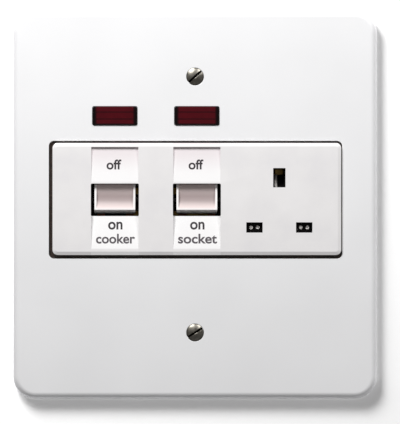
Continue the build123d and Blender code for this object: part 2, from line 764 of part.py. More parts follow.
# Terminal housings: walled pockets on the base's back, open behind, with the cable holes in their
# outer walls. The supply blocks share one, the load blocks another, and the earth block has its own.
pair_x = (bays[0] - terminal_dx, bays[0] + terminal_dx)
earth_holes_x = (earth_terminal_x - earth_bore_dx, earth_terminal_x + earth_bore_dx)
housings = {
    "supply_housing": (supply_z, pair_x, terminal_w, pair_x, terminal_bore_r, -1),
    "load_housing": (load_z, pair_x, terminal_w, pair_x, terminal_bore_r, 1),
    "earth_housing": (earth_terminal_z, (earth_terminal_x,), earth_block_w, earth_holes_x, earth_bore_r, 1),
}
for name, (z, blocks_x, block_w, holes_x, hole_r, side) in housings.items():
    with BuildPart() as housing:
        with BuildSketch(level(back_h)):
            with Locations((sum(blocks_x) / len(blocks_x), z)):
                RectangleRounded(blocks_x[-1] - blocks_x[0] + block_w + 2 * wall, terminal_tall + 2 * wall, 1.5)
        extrude(amount=housing_h - back_h)
        with BuildSketch(level(housing_h)):
            for x in blocks_x:
                with Locations((x, z)):
                    Rectangle(block_w + 2 * pocket_clear, terminal_tall + 2 * pocket_clear)
        extrude(amount=back_h - housing_h, mode=Mode.SUBTRACT)
        # cable holes through the outer wall
        with BuildSketch(Plane.XY.offset(z)):
            with Locations(*[(x, cable_y) for x in holes_x]):
                Circle(hole_r + cable_clear)
        extrude(amount=side * (terminal_tall / 2 + wall + 3), mode=Mode.SUBTRACT)
        if name == "earth_housing":
            # slot for the earth contact's strap
            with BuildSketch(level(earth_foot)):
                with Locations(((socket_x + earth_terminal_x) / 2, earth_z)):
                    Rectangle(earth_terminal_x - socket_x, 5.3)
            extrude(amount=strip_t + 0.15, mode=Mode.SUBTRACT)
            # slot that lets the earth strap through to its terminal
            with BuildSketch(level(back_h)):
                with Locations((stud_places[2][0], earth_terminal_z - terminal_tall / 2 - wall / 2)):
                    Rectangle(4.7, wall + 0.8)
            extrude(amount=-(washer_t + 0.2), mode=Mode.SUBTRACT)
    finish(housing.part, name)


# Terminals: brass blocks with a cable hole and two clamping screws that face the back.
clamp_dz = 2.9
for name, (x, z, s) in terminal_places.items():
    with BuildPart() as terminal:
        with BuildSketch(level(terminal_h)):
            with Locations((x, z)):
                Rectangle(terminal_w, terminal_tall)
        extrude(amount=-terminal_d)
        chamfer(terminal.edges().filter_by(Axis.Y), 0.6)
        with BuildSketch(Plane.XY.offset(z)):
            with Locations((x, cable_y)):
                Circle(terminal_bore_r)
        extrude(amount=terminal_tall, both=True, mode=Mode.SUBTRACT)
        with BuildSketch(level(terminal_h - terminal_d)):
            with Locations((x, z - clamp_dz), (x, z + clamp_dz)):
                Circle(clamp_r + 0.05)
        extrude(amount=terminal_d / 2, mode=Mode.SUBTRACT)
    finish(terminal.part, name)

with BuildPart() as earth_terminal:
    with BuildSketch(level(terminal_h)):
        with Locations((earth_terminal_x, earth_terminal_z)):
            Rectangle(earth_block_w, terminal_tall)
    extrude(amount=-terminal_d)
    chamfer(earth_terminal.edges().filter_by(Axis.Y), 0.6)
    with BuildSketch(Plane.XY.offset(earth_terminal_z)):
        with Locations((earth_terminal_x - earth_bore_dx, cable_y), (earth_terminal_x + earth_bore_dx, cable_y)):
            Circle(earth_bore_r)
    extrude(amount=terminal_tall, both=True, mode=Mode.SUBTRACT)
    with BuildSketch(level(terminal_h - terminal_d)):
        with Locations(*[(earth_terminal_x + s * earth_bore_dx, earth_terminal_z) for s in (-1, 1)]):
            Circle(clamp_r + 0.05)
    extrude(amount=terminal_d / 2, mode=Mode.SUBTRACT)
finish(earth_terminal.part, "earth_terminal")

# Clamping screws: slotted, standing a little out of their blocks.
screw_out = 1.4
clamp_places = [(x, z + dz) for x, z, s in terminal_places.values() for dz in (-clamp_dz, clamp_dz)]
clamp_places += [(earth_terminal_x + s * earth_bore_dx, earth_terminal_z) for s in (-1, 1)]
with BuildPart() as terminal_screws:
    with BuildSketch(level(terminal_h - terminal_d - screw_out)):
        with Locations(*clamp_places):
            Circle(clamp_r)
    extrude(amount=screw_out + terminal_d / 2 + bore_forward - terminal_bore_r - 0.3)
    with BuildSketch(level(terminal_h - terminal_d - screw_out)):
        with Locations(*clamp_places):
            Rectangle(2 * clamp_r + 1, slot_cut_w)
    extrude(amount=0.9, mode=Mode.SUBTRACT)
finish(terminal_screws.part, "terminal_screws")


# Neon lenses: ribbed on the inside, with a flange behind the plate.
for x, name in ((bays[0], "cooker_lens"), (bays[1], "socket_lens")):
    with BuildPart() as lens:
        with BuildSketch(level(inner_h)):
            with Locations((x, lens_z)):
                RectangleRounded(lens_w - lens_gap, lens_tall - lens_gap, 0.7)
        extrude(amount=sheet + lens_proud)
        fillet(lens.faces().sort_by(Axis.Y)[0].edges(), 0.4)
        with BuildSketch(level(inner_h)):
            with Locations((x, lens_z)):
                Rectangle(lens_w + 2 * lens_flange, lens_tall + 2 * lens_flange)
        extrude(amount=-lens_flange_t)
        with BuildSketch(level(inner_h - lens_flange_t)):
            with Locations((x, lens_z)):
                Rectangle(lens_w - 3.0, lens_tall - 2.4)
        extrude(amount=lens_flange_t + sheet + lens_proud - 1.0, mode=Mode.SUBTRACT)
        with BuildSketch(section(x, lens_z, plate_h + lens_proud - 1.0)):
            for i in (-1, 0, 1):
                with BuildLine():
                    Polyline((i * 2.0 - 0.6, 0.05), (i * 2.0, -0.7), (i * 2.0 + 0.6, 0.05), close=True)
                make_face()
        extrude(amount=lens_w / 2 - 1.5, both=True)
    finish(lens.part, name)


# Neon carrier: a moulded trough behind both lenses, on two of the plate's studs.
carrier_front = inner_h - lens_flange_t
carrier_back = -9.0
carrier_left = carrier_studs[0][0] - 4.0
carrier_right = carrier_studs[1][0] + 4.0
lamp_h = -1.6
lamp_r = 2.4
resistor_h = lamp_h - lamp_r - 1.7
lead_r = 0.55
lead_dx = 6.0
wire_r = 0.4
seat_w = lens_w + 2 * lens_flange
seat_tall = lens_tall + 2 * lens_flange
with BuildPart() as neon_carrier:
    with BuildSketch(level(carrier_front)):
        with Locations(((carrier_left + carrier_right) / 2, lens_z)):
            RectangleRounded(carrier_right - carrier_left, seat_tall, 2)
    extrude(amount=-ear_t)
    with BuildSketch(level(carrier_front)):
        with Locations(*carrier_studs):
            RectangleRounded(8, seat_tall, 2)
    extrude(amount=lens_flange_t)
    with BuildSketch(level(carrier_front)):
        with Locations((bays[0], lens_z), (bays[1], lens_z)):
            RectangleRounded(seat_w, seat_tall, 1)
    extrude(amount=carrier_back - carrier_front)
    with BuildSketch(level(carrier_front)):
        with Locations((bays[0], lens_z), (bays[1], lens_z)):
            Rectangle(seat_w - 2 * carrier_wall, seat_tall - 2 * carrier_wall)
    extrude(amount=carrier_back + carrier_wall - carrier_front, mode=Mode.SUBTRACT)
    with BuildSketch(level(inner_h)):
        with Locations(*carrier_studs):
            Circle(stud_r + stud_clear)
    extrude(amount=-8, mode=Mode.SUBTRACT)
    # holes in the lower wall for the leads
    with BuildSketch(Plane.XY.offset(lens_z)):
        for x in bays:
            with Locations((x - lead_dx, -lamp_h), (x + lead_dx, -resistor_h)):
                Circle(lead_r + 0.15)
    extrude(amount=-(lens_tall / 2 + lens_flange + 1), mode=Mode.SUBTRACT)
finish(neon_carrier.part, "neon_carrier")

# Neon lamps: small glass tubes lying along X behind the lenses.
with BuildPart() as neon_lamps:
    for x in bays:
        with BuildSketch(Plane(origin=(x, -lamp_h, lens_z), x_dir=(1, 0, 0), z_dir=(0, -1, 0))):
            with BuildLine():
                Polyline((-6.5, 0), (-6.5, lamp_r - 0.6), (-5.9, lamp_r), (4.2, lamp_r))
                ThreePointArc((4.2, lamp_r), (4.2 + lamp_r * sin(radians(45)), lamp_r * sin(radians(45))), (4.2 + lamp_r, 0))
                Line((4.2 + lamp_r, 0), (-6.5, 0))
            make_face()
        revolve(axis=Axis((x, -lamp_h, lens_z), (1, 0, 0)))
finish(neon_lamps.part, "neon_lamps")

# Series resistors behind the lamps.
with BuildPart() as neon_resistors:
    for x in bays:
        with BuildSketch(Plane(origin=(x, -resistor_h, lens_z), x_dir=(1, 0, 0), z_dir=(0, -1, 0))):
            with BuildLine():
                body = [(lead_dx + 0.4, wire_r), (4.6, wire_r), (4.6, 1.0), (4.1, 1.4)]
                Polyline(
                    (-lead_dx - 0.4, 0),
                    *[(-along, out) for along, out in body],
                    *reversed(body),
                    (lead_dx + 0.4, 0),
                    close=True,
                )
            make_face()
        revolve(axis=Axis((x, -resistor_h, lens_z), (1, 0, 0)))
finish(neon_resistors.part, "neon_resistors")

# Leads: sleeved wires straight down from the lamps and resistors to the base.
lead_foot = module_z + base_tall / 2
with BuildPart() as neon_leads:
    for x in bays:
        for dx, h, top in ((-lead_dx, lamp_h, lens_z - lamp_r), (lead_dx, resistor_h, lens_z - wire_r)):
            with BuildSketch(Plane.XY.offset(lead_foot)):
                with Locations((x + dx, -h)):
                    Circle(lead_r)
            extrude(amount=top - lead_foot)
finish(neon_leads.part, "neon_leads")


# Nuts on the plate's studs, each on a washer. The earth strap's eye stands in for one washer.
carrier_seat = carrier_front - ear_t
with BuildPart() as plate_nuts:
    for seat, places in ((flange_back, stud_places), (carrier_seat, carrier_studs)):
        with BuildSketch(level(seat - washer_t)):
            with Locations(*places):
                RegularPolygon(nut_af / 2, 6, major_radius=False)
                Circle(stud_r + 0.05, mode=Mode.SUBTRACT)
        extrude(amount=-nut_t)
finish(plate_nuts.part, "plate_nuts")

with BuildPart() as plate_washers:
    for seat, places in ((flange_back, stud_places[:2] + stud_places[3:]), (carrier_seat, carrier_studs)):
        with BuildSketch(level(seat)):
            with Locations(*places):
                Circle(washer_r)
                Circle(stud_r + 0.1, mode=Mode.SUBTRACT)
        extrude(amount=-washer_t)
finish(plate_washers.part, "plate_washers")

# Screws that hold the base to the cover, driven from the back.
with BuildPart() as base_screws:
    with BuildSketch(level(back_h + 3.0)):
        with Locations(*base_screw_places):
            Circle(2.7)
    extrude(amount=-2.2)
    with BuildSketch(level(back_h + 3.0)):
        with Locations(*base_screw_places):
            Circle(1.3)
    extrude(amount=pocket_h - back_h - 3.0 + 0.6)
    with BuildSketch(level(back_h + 3.0 - 2.2)):
        with Locations(*base_screw_places):
            Rectangle(7, slot_cut_w)
    extrude(amount=0.9, mode=Mode.SUBTRACT)
finish(base_screws.part, "base_screws")

# Box screws: raised countersunk heads in the plate's dishes, shanks standing out behind the wall plane.
with BuildPart() as box_screws:
    for z, turn in ((screw_pitch / 2, 42), (-screw_pitch / 2, 32)):
        with BuildSketch(section(0, z, plate_h)):
            with BuildLine():
                Polyline(
                    (0, box_head_dome),
                    (0, -plate_h - box_screw_reach),
                    (box_screw_r - 0.3, -plate_h - box_screw_reach),
                    (box_screw_r, -plate_h - box_screw_reach + 0.4),
                    (box_screw_r, -plate_h),
                    (box_neck_r, -plate_h),
                    (box_neck_r, -box_head_deep),
                    (box_head_r, 0),
                )
                dome_r = (box_head_r**2 + box_head_dome**2) / (2 * box_head_dome)
                half = box_head_r / 2
                ThreePointArc(
                    (box_head_r, 0),
                    (half, box_head_dome - dome_r + (dome_r**2 - half**2) ** 0.5),
                    (0, box_head_dome),
                )
            make_face()
        revolve(axis=Axis((0, 0, z), (0, 1, 0)))
        with BuildSketch(level(plate_h + box_head_dome)):
            with Locations((0, z)):
                Rectangle(2 * box_head_r + 1, slot_cut_w, rotation=turn)
        extrude(amount=-1.2, mode=Mode.SUBTRACT)
finish(box_screws.part, "box_screws")

# Earth strap: a tinned strip from one of the plate's studs, round the foot of the base and up its
# back, into the side of the earth terminal.
strap_x, strap_z = stud_places[2]
strap_t = washer_t
strap_half = 2.2
base_foot = module_z - base_tall / 2
strap_end_z = earth_terminal_z - terminal_tall / 2
with BuildPart() as earth_strap:
    with BuildSketch(section(strap_x, 0, 0)):
        with BuildLine():
            Polyline(
                (strap_z, flange_back),
                (base_foot - 0.1, flange_back),
                (base_foot - 0.1, back_h - 0.05),
                (strap_end_z, back_h - 0.05),
                (strap_end_z, back_h - 0.05 - strap_t),
                (base_foot - 0.1 - strap_t, back_h - 0.05 - strap_t),
                (base_foot - 0.1 - strap_t, flange_back - strap_t),
                (strap_z, flange_back - strap_t),
                close=True,
            )
        make_face()
    extrude(amount=strap_half, both=True)
    with BuildSketch(level(flange_back)):
        with Locations((strap_x, strap_z)):
            Circle(washer_r)
    extrude(amount=-strap_t)
    with BuildSketch(level(flange_back)):
        with Locations((strap_x, strap_z)):
            Circle(stud_r + 0.1)
    extrude(amount=-strap_t, mode=Mode.SUBTRACT)
finish(earth_strap.part, "earth_strap")
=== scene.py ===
from math import asin, cos, pi, radians, sin

import bmesh
import bpy
from mathutils import Matrix, Vector


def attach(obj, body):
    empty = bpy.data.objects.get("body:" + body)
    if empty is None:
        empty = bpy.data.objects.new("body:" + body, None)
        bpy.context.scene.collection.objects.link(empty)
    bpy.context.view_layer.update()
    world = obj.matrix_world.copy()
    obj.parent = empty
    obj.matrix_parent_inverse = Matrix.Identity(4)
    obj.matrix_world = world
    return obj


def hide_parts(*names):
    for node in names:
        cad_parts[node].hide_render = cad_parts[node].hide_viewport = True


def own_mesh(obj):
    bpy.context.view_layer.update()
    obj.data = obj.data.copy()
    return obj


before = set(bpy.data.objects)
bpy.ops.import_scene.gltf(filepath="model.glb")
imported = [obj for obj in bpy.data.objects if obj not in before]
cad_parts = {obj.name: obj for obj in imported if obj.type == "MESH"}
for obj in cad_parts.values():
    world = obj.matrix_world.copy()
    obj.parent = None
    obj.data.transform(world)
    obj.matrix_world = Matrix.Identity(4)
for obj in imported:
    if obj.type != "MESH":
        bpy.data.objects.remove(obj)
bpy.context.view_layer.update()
scene = bpy.context.scene
scene.view_settings.view_transform = "Standard"


# Camera: square on to the plate from two metres, a little right of and below the plate's middle,
# so that the long side of the picture covers 189 mm at the plate's front.
plate_h = 0.0055
camera_away = 2.0
camera_x = 0.0022
camera_z = -0.0033
picture_px = 424
px_per_mm = 2.24
sensor_mm = 36.0
camera_sees = picture_px / px_per_mm / 1000
camera_data = bpy.data.cameras.new("plate_camera")
camera_data.sensor_width = sensor_mm
camera_data.lens = sensor_mm * camera_away / camera_sees
camera = bpy.data.objects.new("plate_camera", camera_data)
camera_place = Matrix.Translation((camera_x, -plate_h - camera_away, camera_z))
camera.matrix_world = camera_place @ Matrix.Rotation(pi / 2, 4, "X")
scene.collection.objects.link(camera)
scene.camera = camera


# Wall and floor: a painted wall in the plane that the plate's rim stands on, open where the box
# stands in it, and a pale floor well below. The wall shows white to the camera and keeps the
# plate's shadow. Its back is clear, so that the unit can be seen from behind.
wall_half = 3.0
opening_half = 0.07
wall_y = 0.0004
floor_half = 3.0
floor_z = -1.8


def linear(colour):
    """The linear value of an sRGB hex colour."""
    parts = [int(colour[i : i + 2], 16) / 255 for i in (1, 3, 5)]
    return (*[c / 12.92 if c <= 0.04045 else ((c + 0.055) / 1.055) ** 2.4 for c in parts], 1.0)


def add(material, kind, inputs, **settings):
    """A new node in a material: its settings, and a value or a link for each input named."""
    tree = material.node_tree
    node = tree.nodes.new("ShaderNode" + kind)
    for name, value in settings.items():
        setattr(node, name, value)
    for name, value in inputs.items():
        if isinstance(value, bpy.types.NodeSocket):
            tree.links.new(value, node.inputs[name])
        else:
            node.inputs[name].default_value = value
    return node


def new_material(name):
    """An empty node material."""
    material = bpy.data.materials.new(name)
    material.use_nodes = True
    material.node_tree.nodes.clear()
    return material


def staged(name, mesh, paint):
    """A bmesh as a piece of the staging, in one paint."""
    data = bpy.data.meshes.new(name)
    mesh.to_mesh(data)
    mesh.free()
    data.materials.append(paint)
    piece = bpy.data.objects.new(name, data)
    scene.collection.objects.link(piece)
    return piece


# Wall paint: matt, and greyer to bounced light than to the eye, so that little of it returns to the
# plate.
wall_paint = new_material("matt_white_wall_paint")
seen = add(wall_paint, "LightPath", {})
rays = [seen.outputs["Is " + kind + " Ray"] for kind in ("Camera", "Glossy", "Transmission")]
mirrored = add(wall_paint, "Math", {0: rays[1], 1: rays[2]}, operation="ADD")
looked_at = add(wall_paint, "Math", {0: rays[0], 1: mirrored.outputs[0]}, operation="ADD", use_clamp=True)
facing = add(wall_paint, "NewGeometry", {})
matt = add(wall_paint, "BsdfDiffuse", {"Color": linear("#dcdcde"), "Roughness": 1.0})
white = add(wall_paint, "BsdfDiffuse", {"Color": linear("#fafafa"), "Roughness": 1.0})
glow = add(wall_paint, "Emission", {"Color": linear("#ffffff"), "Strength": 0.19})
both = add(wall_paint, "AddShader", {0: white.outputs[0], 1: glow.outputs[0]})
front = add(wall_paint, "MixShader", {0: looked_at.outputs[0], 1: matt.outputs[0], 2: both.outputs[0]})
clear = add(wall_paint, "BsdfTransparent", {})
sides = {0: facing.outputs["Backfacing"], 1: front.outputs[0], 2: clear.outputs[0]}
sided = add(wall_paint, "MixShader", sides)
add(wall_paint, "OutputMaterial", {"Surface": sided.outputs[0]})

wall_mesh = bmesh.new()
bmesh.ops.create_grid(wall_mesh, x_segments=1, y_segments=1, size=wall_half)
opening = wall_mesh.faces[:]
bmesh.ops.inset_individual(wall_mesh, faces=opening, thickness=wall_half - opening_half, use_even_offset=True)
bmesh.ops.delete(wall_mesh, geom=opening, context="FACES_ONLY")
upright = Matrix.Translation((0, wall_y, 0)) @ Matrix.Rotation(pi / 2, 4, "X")
bmesh.ops.transform(wall_mesh, matrix=upright, verts=wall_mesh.verts)
wall = staged("wall", wall_mesh, wall_paint)
wall.visible_shadow = False

floor_paint = new_material("pale_floor_paint")
matt = add(floor_paint, "BsdfDiffuse", {"Color": linear("#dcdcde")})
add(floor_paint, "OutputMaterial", {"Surface": matt.outputs[0]})
floor_mesh = bmesh.new()
bmesh.ops.create_grid(floor_mesh, x_segments=1, y_segments=1, size=floor_half)
bmesh.ops.translate(floor_mesh, vec=(0, 0, floor_z), verts=floor_mesh.verts)
staged("floor", floor_mesh, floor_paint)


# Lamps: a soft box high on the left gives the plate its fall of light, and a weaker one high on the
# right evens it out but leaves the wall alone. A wash lights only the wall and gives it the plate's
# shadow, and a lamp behind lights the back of the unit.
world = bpy.data.worlds.new("studio")
world.use_nodes = True
surround = world.node_tree.nodes["Background"].inputs
surround["Color"].default_value = linear("#fbf9f8")
surround["Strength"].default_value = 0.145
scene.world = world
for name, place, aim, size, watts, on_wall in (
    ("key", (-0.28, -0.42, 0.56), (0, 0, 0.02), 0.26, 5.65, None),
    ("fill", (0.4, -0.5, 0.55), (0, 0, 0.02), 0.3, 3.35, "EXCLUDE"),
    ("wash", (-0.4, -0.36, 0.5), (0, 0, -0.06), 0.4, 4.9, "INCLUDE"),
    ("behind", (0.5, 1.0, 0.6), (0, 0, 0), 0.8, 14.0, None),
):
    light = bpy.data.lights.new(name, "AREA")
    light.shape = "SQUARE"
    light.size = size
    light.energy = watts
    lamp = bpy.data.objects.new(name, light)
    lamp.location = place
    lamp.rotation_euler = (Vector(aim) - Vector(place)).to_track_quat("-Z", "Y").to_euler()
    scene.collection.objects.link(lamp)
    if on_wall:
        linked = bpy.data.collections.new(name + "_on_wall")
        linked.objects.link(wall)
        lamp.light_linking.receiver_collection = linked
        linked.collection_objects[0].light_linking.link_state = on_wall


# Base: the dark body behind the cover, moulded in phenolic with wood flour, in three bays with
# pockets for the terminals. Its flash lines are filed and its edges are slightly broken.
def finished(data, name, body, material, slot, *nodes, width, angle):
    """A mesh as a finished piece: edges broken by width, its material, body and CAD nodes. Its slot is not
    used.
    """
    data.materials.clear()
    data.materials.append(material)
    data.shade_smooth()
    data.set_sharp_from_angle(angle=radians(angle))
    piece = bpy.data.objects.new(name, data)
    scene.collection.objects.link(piece)
    if width:
        edge = piece.modifiers.new("broken_edges", "BEVEL")
        edge.width = width
        edge.segments = 2
        edge.limit_method = "ANGLE"
        edge.angle_limit = radians(angle)
        edge.miter_outer = "MITER_ARC"
        flat = piece.modifiers.new("flat_faces", "WEIGHTED_NORMAL")
        flat.keep_sharp = True
    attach(piece, body)
    if nodes:
        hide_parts(*nodes)
    return piece


def eased(node, body, material, slot, width, angle=32):
    """A copy of a CAD piece with its edges broken by width, standing for it and riding on body.
    Faces with many sides are cut into triangles, because one round an opening can close over it."""
    weld = 2e-6
    nearly_flat = radians(0.6)
    most_sides = 8
    shape = bmesh.new()
    shape.from_mesh(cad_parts[node].data)
    bmesh.ops.remove_doubles(shape, verts=shape.verts, dist=weld)
    bmesh.ops.dissolve_degenerate(shape, edges=shape.edges, dist=weld)
    bmesh.ops.dissolve_limit(shape, angle_limit=nearly_flat, verts=shape.verts, edges=shape.edges)
    bmesh.ops.triangulate(shape, faces=[face for face in shape.faces if len(face.verts) > most_sides])
    data = bpy.data.meshes.new(node + "_piece")
    shape.to_mesh(data)
    shape.free()
    return finished(data, node + "_piece", body, material, slot, node, width=width, angle=angle)


def tones(material, factor, stops):
    """A ramp between hex colours, each with its place along the factor."""
    ramp = add(material, "ValToRGB", {"Fac": factor})
    while len(ramp.color_ramp.elements) < len(stops):
        ramp.color_ramp.elements.new(0.5)
    for element, (place, colour) in zip(ramp.color_ramp.elements, stops):
        element.position = place
        element.color = linear(colour)
    return ramp.outputs["Color"]


# Phenolic moulding: dark brown, mottled by its wood flour at about a millimetre, with a dull shine
# from the mould and a very fine grain. Here and below, a pattern's size is that of one of its spots,
# in metres, and its scale is how many of them go into a metre.
flour_grain = 0.00111
mould_cloud = 0.0111
phenolic = new_material("phenolic_moulding")
place = add(phenolic, "TexCoord", {}).outputs["Object"]
flour = {"Vector": place, "Scale": 1 / flour_grain, "Detail": 6, "Roughness": 0.62}
mottle = add(phenolic, "TexNoise", flour)
broad = add(phenolic, "TexNoise", {"Vector": place, "Scale": 1 / mould_cloud, "Detail": 2})
colour = tones(phenolic, mottle.outputs["Fac"], ((0.3, "#241a15"), (0.55, "#33261f"), (0.72, "#4a382e")))
wear = add(phenolic, "MapRange", {"Value": broad.outputs["Fac"], "To Min": 0.34, "To Max": 0.52})
grain = add(phenolic, "Bump", {"Height": mottle.outputs["Fac"], "Strength": 0.25, "Distance": 0.00004})
shader = add(
    phenolic,
    "BsdfPrincipled",
    {"Base Color": colour, "Roughness": wear.outputs[0], "IOR": 1.6, "Normal": grain.outputs[0]},
)
add(phenolic, "OutputMaterial", {"Surface": shader.outputs[0]})
for node in ("base_moulding", "supply_housing", "load_housing", "earth_housing"):
    eased(node, "unit", phenolic, "base_moulding", width=0.0002)


# Terminals: tunnel blocks sawn from brass bar and drilled for the cables, dulled by handling. Each
# clamps its cable with zinc-plated screws that are turned from behind.
drawn_line = 0.000385
tarnish_spot = 0.00625
along_bar = 0.12
brass = new_material("drawn_brass")
place = add(brass, "TexCoord", {}).outputs["Object"]
along = add(brass, "Mapping", {"Vector": place, "Scale": (1, along_bar, 1)})
lines = add(brass, "TexNoise", {"Vector": along.outputs[0], "Scale": 1 / drawn_line, "Detail": 3})
tarnish = add(brass, "TexNoise", {"Vector": place, "Scale": 1 / tarnish_spot, "Detail": 4})
colour = tones(brass, tarnish.outputs["Fac"], ((0.3, "#a8834a"), (0.5, "#c8a45e"), (0.7, "#d9b975")))
dull = add(brass, "MapRange", {"Value": tarnish.outputs["Fac"], "To Min": 0.42, "To Max": 0.24})
drawn = add(brass, "Bump", {"Height": lines.outputs["Fac"], "Strength": 0.3, "Distance": 0.00002})
shader = add(
    brass,
    "BsdfPrincipled",
    {"Base Color": colour, "Metallic": 1.0, "Roughness": dull.outputs[0], "Normal": drawn.outputs[0]},
)
add(brass, "OutputMaterial", {"Surface": shader.outputs[0]})
for terminal in ("supply_line", "supply_neutral", "load_line", "load_neutral", "earth"):
    eased(terminal + "_terminal", "unit", brass, "brass", width=0.00025)

# Zinc plate on turned steel: grey with a faint yellow passivation in patches of 2.4 mm, and turning
# marks a quarter of a millimetre apart, which is coarser than real, so that they show.
film_patch = 0.00238
turning_mark = 0.000238
zinc = new_material("zinc_plated_steel")
place = add(zinc, "TexCoord", {}).outputs["Object"]
film = add(zinc, "TexNoise", {"Vector": place, "Scale": 1 / film_patch, "Detail": 3})
turning = add(zinc, "TexNoise", {"Vector": place, "Scale": 1 / turning_mark, "Detail": 2})
colour = tones(zinc, film.outputs["Fac"], ((0.35, "#a3a39a"), (0.52, "#bdbcb4"), (0.68, "#c9c2a4")))
dull = add(zinc, "MapRange", {"Value": film.outputs["Fac"], "To Min": 0.28, "To Max": 0.44})
marks = add(zinc, "Bump", {"Height": turning.outputs["Fac"], "Strength": 0.25, "Distance": 0.00001})
shader = add(
    zinc,
    "BsdfPrincipled",
    {"Base Color": colour, "Metallic": 1.0, "Roughness": dull.outputs[0], "Normal": marks.outputs[0]},
)
add(zinc, "OutputMaterial", {"Surface": shader.outputs[0]})
eased("terminal_screws", "unit", zinc, "plated_steel", width=0.00012)


# Conductors: strips blanked from brass and copper sheet and bent. The line and neutral bars carry
# the see-saws, the clips grip the pins of a plug, and the fixed contacts feed the load terminals.
stain_patch = 0.00455
rolled_line = 0.000294
along_strip = 0.08
copper = new_material("rolled_copper_strip")
place = add(copper, "TexCoord", {}).outputs["Object"]
patches = {"Vector": place, "Scale": 1 / stain_patch, "Detail": 5, "Roughness": 0.6}
stain = add(copper, "TexNoise", patches)
rolled = add(copper, "Mapping", {"Vector": place, "Scale": (1, 1, along_strip)})
lines = add(copper, "TexNoise", {"Vector": rolled.outputs[0], "Scale": 1 / rolled_line, "Detail": 2})
colour = tones(copper, stain.outputs["Fac"], ((0.3, "#9c5a3c"), (0.5, "#c07a55"), (0.7, "#d9946c")))
dull = add(copper, "MapRange", {"Value": stain.outputs["Fac"], "To Min": 0.4, "To Max": 0.22})
marks = add(copper, "Bump", {"Height": lines.outputs["Fac"], "Strength": 0.25, "Distance": 0.00001})
shader = add(
    copper,
    "BsdfPrincipled",
    {"Base Color": colour, "Metallic": 1.0, "Roughness": dull.outputs[0], "Normal": marks.outputs[0]},
)
add(copper, "OutputMaterial", {"Surface": shader.outputs[0]})
for node in ("line_bar", "neutral_bar", "socket_line_clip", "socket_neutral_clip", "earth_clip"):
    eased(node, "unit", brass, "brass", width=0.0001)
for node in ("cooker_line_contact", "cooker_neutral_contact"):
    eased(node, "unit", copper, "copper", width=0.0001)


# See-saws: bent copper bars, two to a switch, that rock on the saddles of the line and neutral bars
# and make or break the circuit.
for switch in ("cooker", "socket"):
    eased(switch + "_moving_contacts", switch + "_see_saws", copper, "copper", width=0.0001)


# Plungers and springs: nylon pins moulded with round noses, two to a rocker, pressed on to the
# see-saws by small coils of drawn spring wire.
bays = {"cooker": -0.0358, "socket": 0.0008}
pivot_z = 0.00215
rocker_rest = radians(-12)
plunger_dx = 0.0065
spring_r = 0.0011
spring_foot = -0.00346
spring_top = 0.0025
spring_turns = 5
wire_thick = 0.0003

# Natural nylon: milky and a little translucent, with a skin that waves at about 4 mm.
skin_wave = 0.00385
nylon = new_material("natural_nylon")
place = add(nylon, "TexCoord", {}).outputs["Object"]
cloud = add(nylon, "TexNoise", {"Vector": place, "Scale": 1 / skin_wave, "Detail": 2})
colour = tones(nylon, cloud.outputs["Fac"], ((0.35, "#d8d4c4"), (0.65, "#e6e2d4")))
skin = add(nylon, "Bump", {"Height": cloud.outputs["Fac"], "Strength": 0.15, "Distance": 0.00003})
shader = add(
    nylon,
    "BsdfPrincipled",
    {
        "Base Color": colour,
        "Roughness": 0.42,
        "IOR": 1.53,
        "Subsurface Weight": 0.15,
        "Subsurface Scale": 0.001,
        "Normal": skin.outputs[0],
    },
)
add(nylon, "OutputMaterial", {"Surface": shader.outputs[0]})

# Drawn spring wire: grey steel, a little uneven from the die at about half a millimetre.
die_mark = 0.000556
wire = new_material("drawn_spring_wire")
place = add(wire, "TexCoord", {}).outputs["Object"]
drawn = add(wire, "TexNoise", {"Vector": place, "Scale": 1 / die_mark, "Detail": 3})
colour = tones(wire, drawn.outputs["Fac"], ((0.3, "#6f6f74"), (0.7, "#9b9ba0")))
marks = add(wire, "Bump", {"Height": drawn.outputs["Fac"], "Strength": 0.2, "Distance": 0.00001})
shader = add(
    wire,
    "BsdfPrincipled",
    {"Base Color": colour, "Metallic": 1.0, "Roughness": 0.3, "Normal": marks.outputs[0]},
)
add(wire, "OutputMaterial", {"Surface": shader.outputs[0]})


def across(x, z, h, tilt=0.0):
    """The place of a piece whose own z points at the viewer, h off the wall, tipped by tilt about X."""
    return Matrix.Translation((x, -h, z)) @ Matrix.Rotation(pi / 2 + tilt, 4, "X")


def coil(radius, thick, foot, top, turns, where):
    """A compression spring of round wire from foot to top, with closed turns at its ends."""
    steps = 20
    levels = [foot + thick / 2, foot + thick * 1.5, top - thick * 1.5, top - thick / 2]
    shape = bmesh.new()
    for low, high, count in zip(levels, levels[1:], (1, turns, 1)):
        ring = bmesh.ops.create_circle(shape, segments=8, radius=thick / 2)["verts"]
        start = Matrix.Translation((radius, 0, low)) @ Matrix.Rotation(pi / 2, 4, "X")
        bmesh.ops.transform(shape, matrix=start, verts=ring)
        edges = [edge for edge in shape.edges if all(vert in ring for vert in edge.verts)]
        bmesh.ops.spin(
            shape,
            geom=ring + edges,
            axis=(0, 0, 1),
            cent=(0, 0, 0),
            dvec=(0, 0, (high - low) / (steps * count)),
            angle=2 * pi * count,
            steps=steps * count,
        )
    bmesh.ops.remove_doubles(shape, verts=shape.verts, dist=1e-7)
    bmesh.ops.holes_fill(shape, edges=[edge for edge in shape.edges if edge.is_boundary])
    bmesh.ops.recalc_face_normals(shape, faces=shape.faces)
    bmesh.ops.transform(shape, matrix=where, verts=shape.verts)
    return shape


def joined(parts, name):
    """One mesh of several bmeshes."""
    data = bpy.data.meshes.new(name)
    whole = bmesh.new()
    for part in parts:
        part.to_mesh(data)
        part.free()
        whole.from_mesh(data)
    whole.to_mesh(data)
    whole.free()
    return data


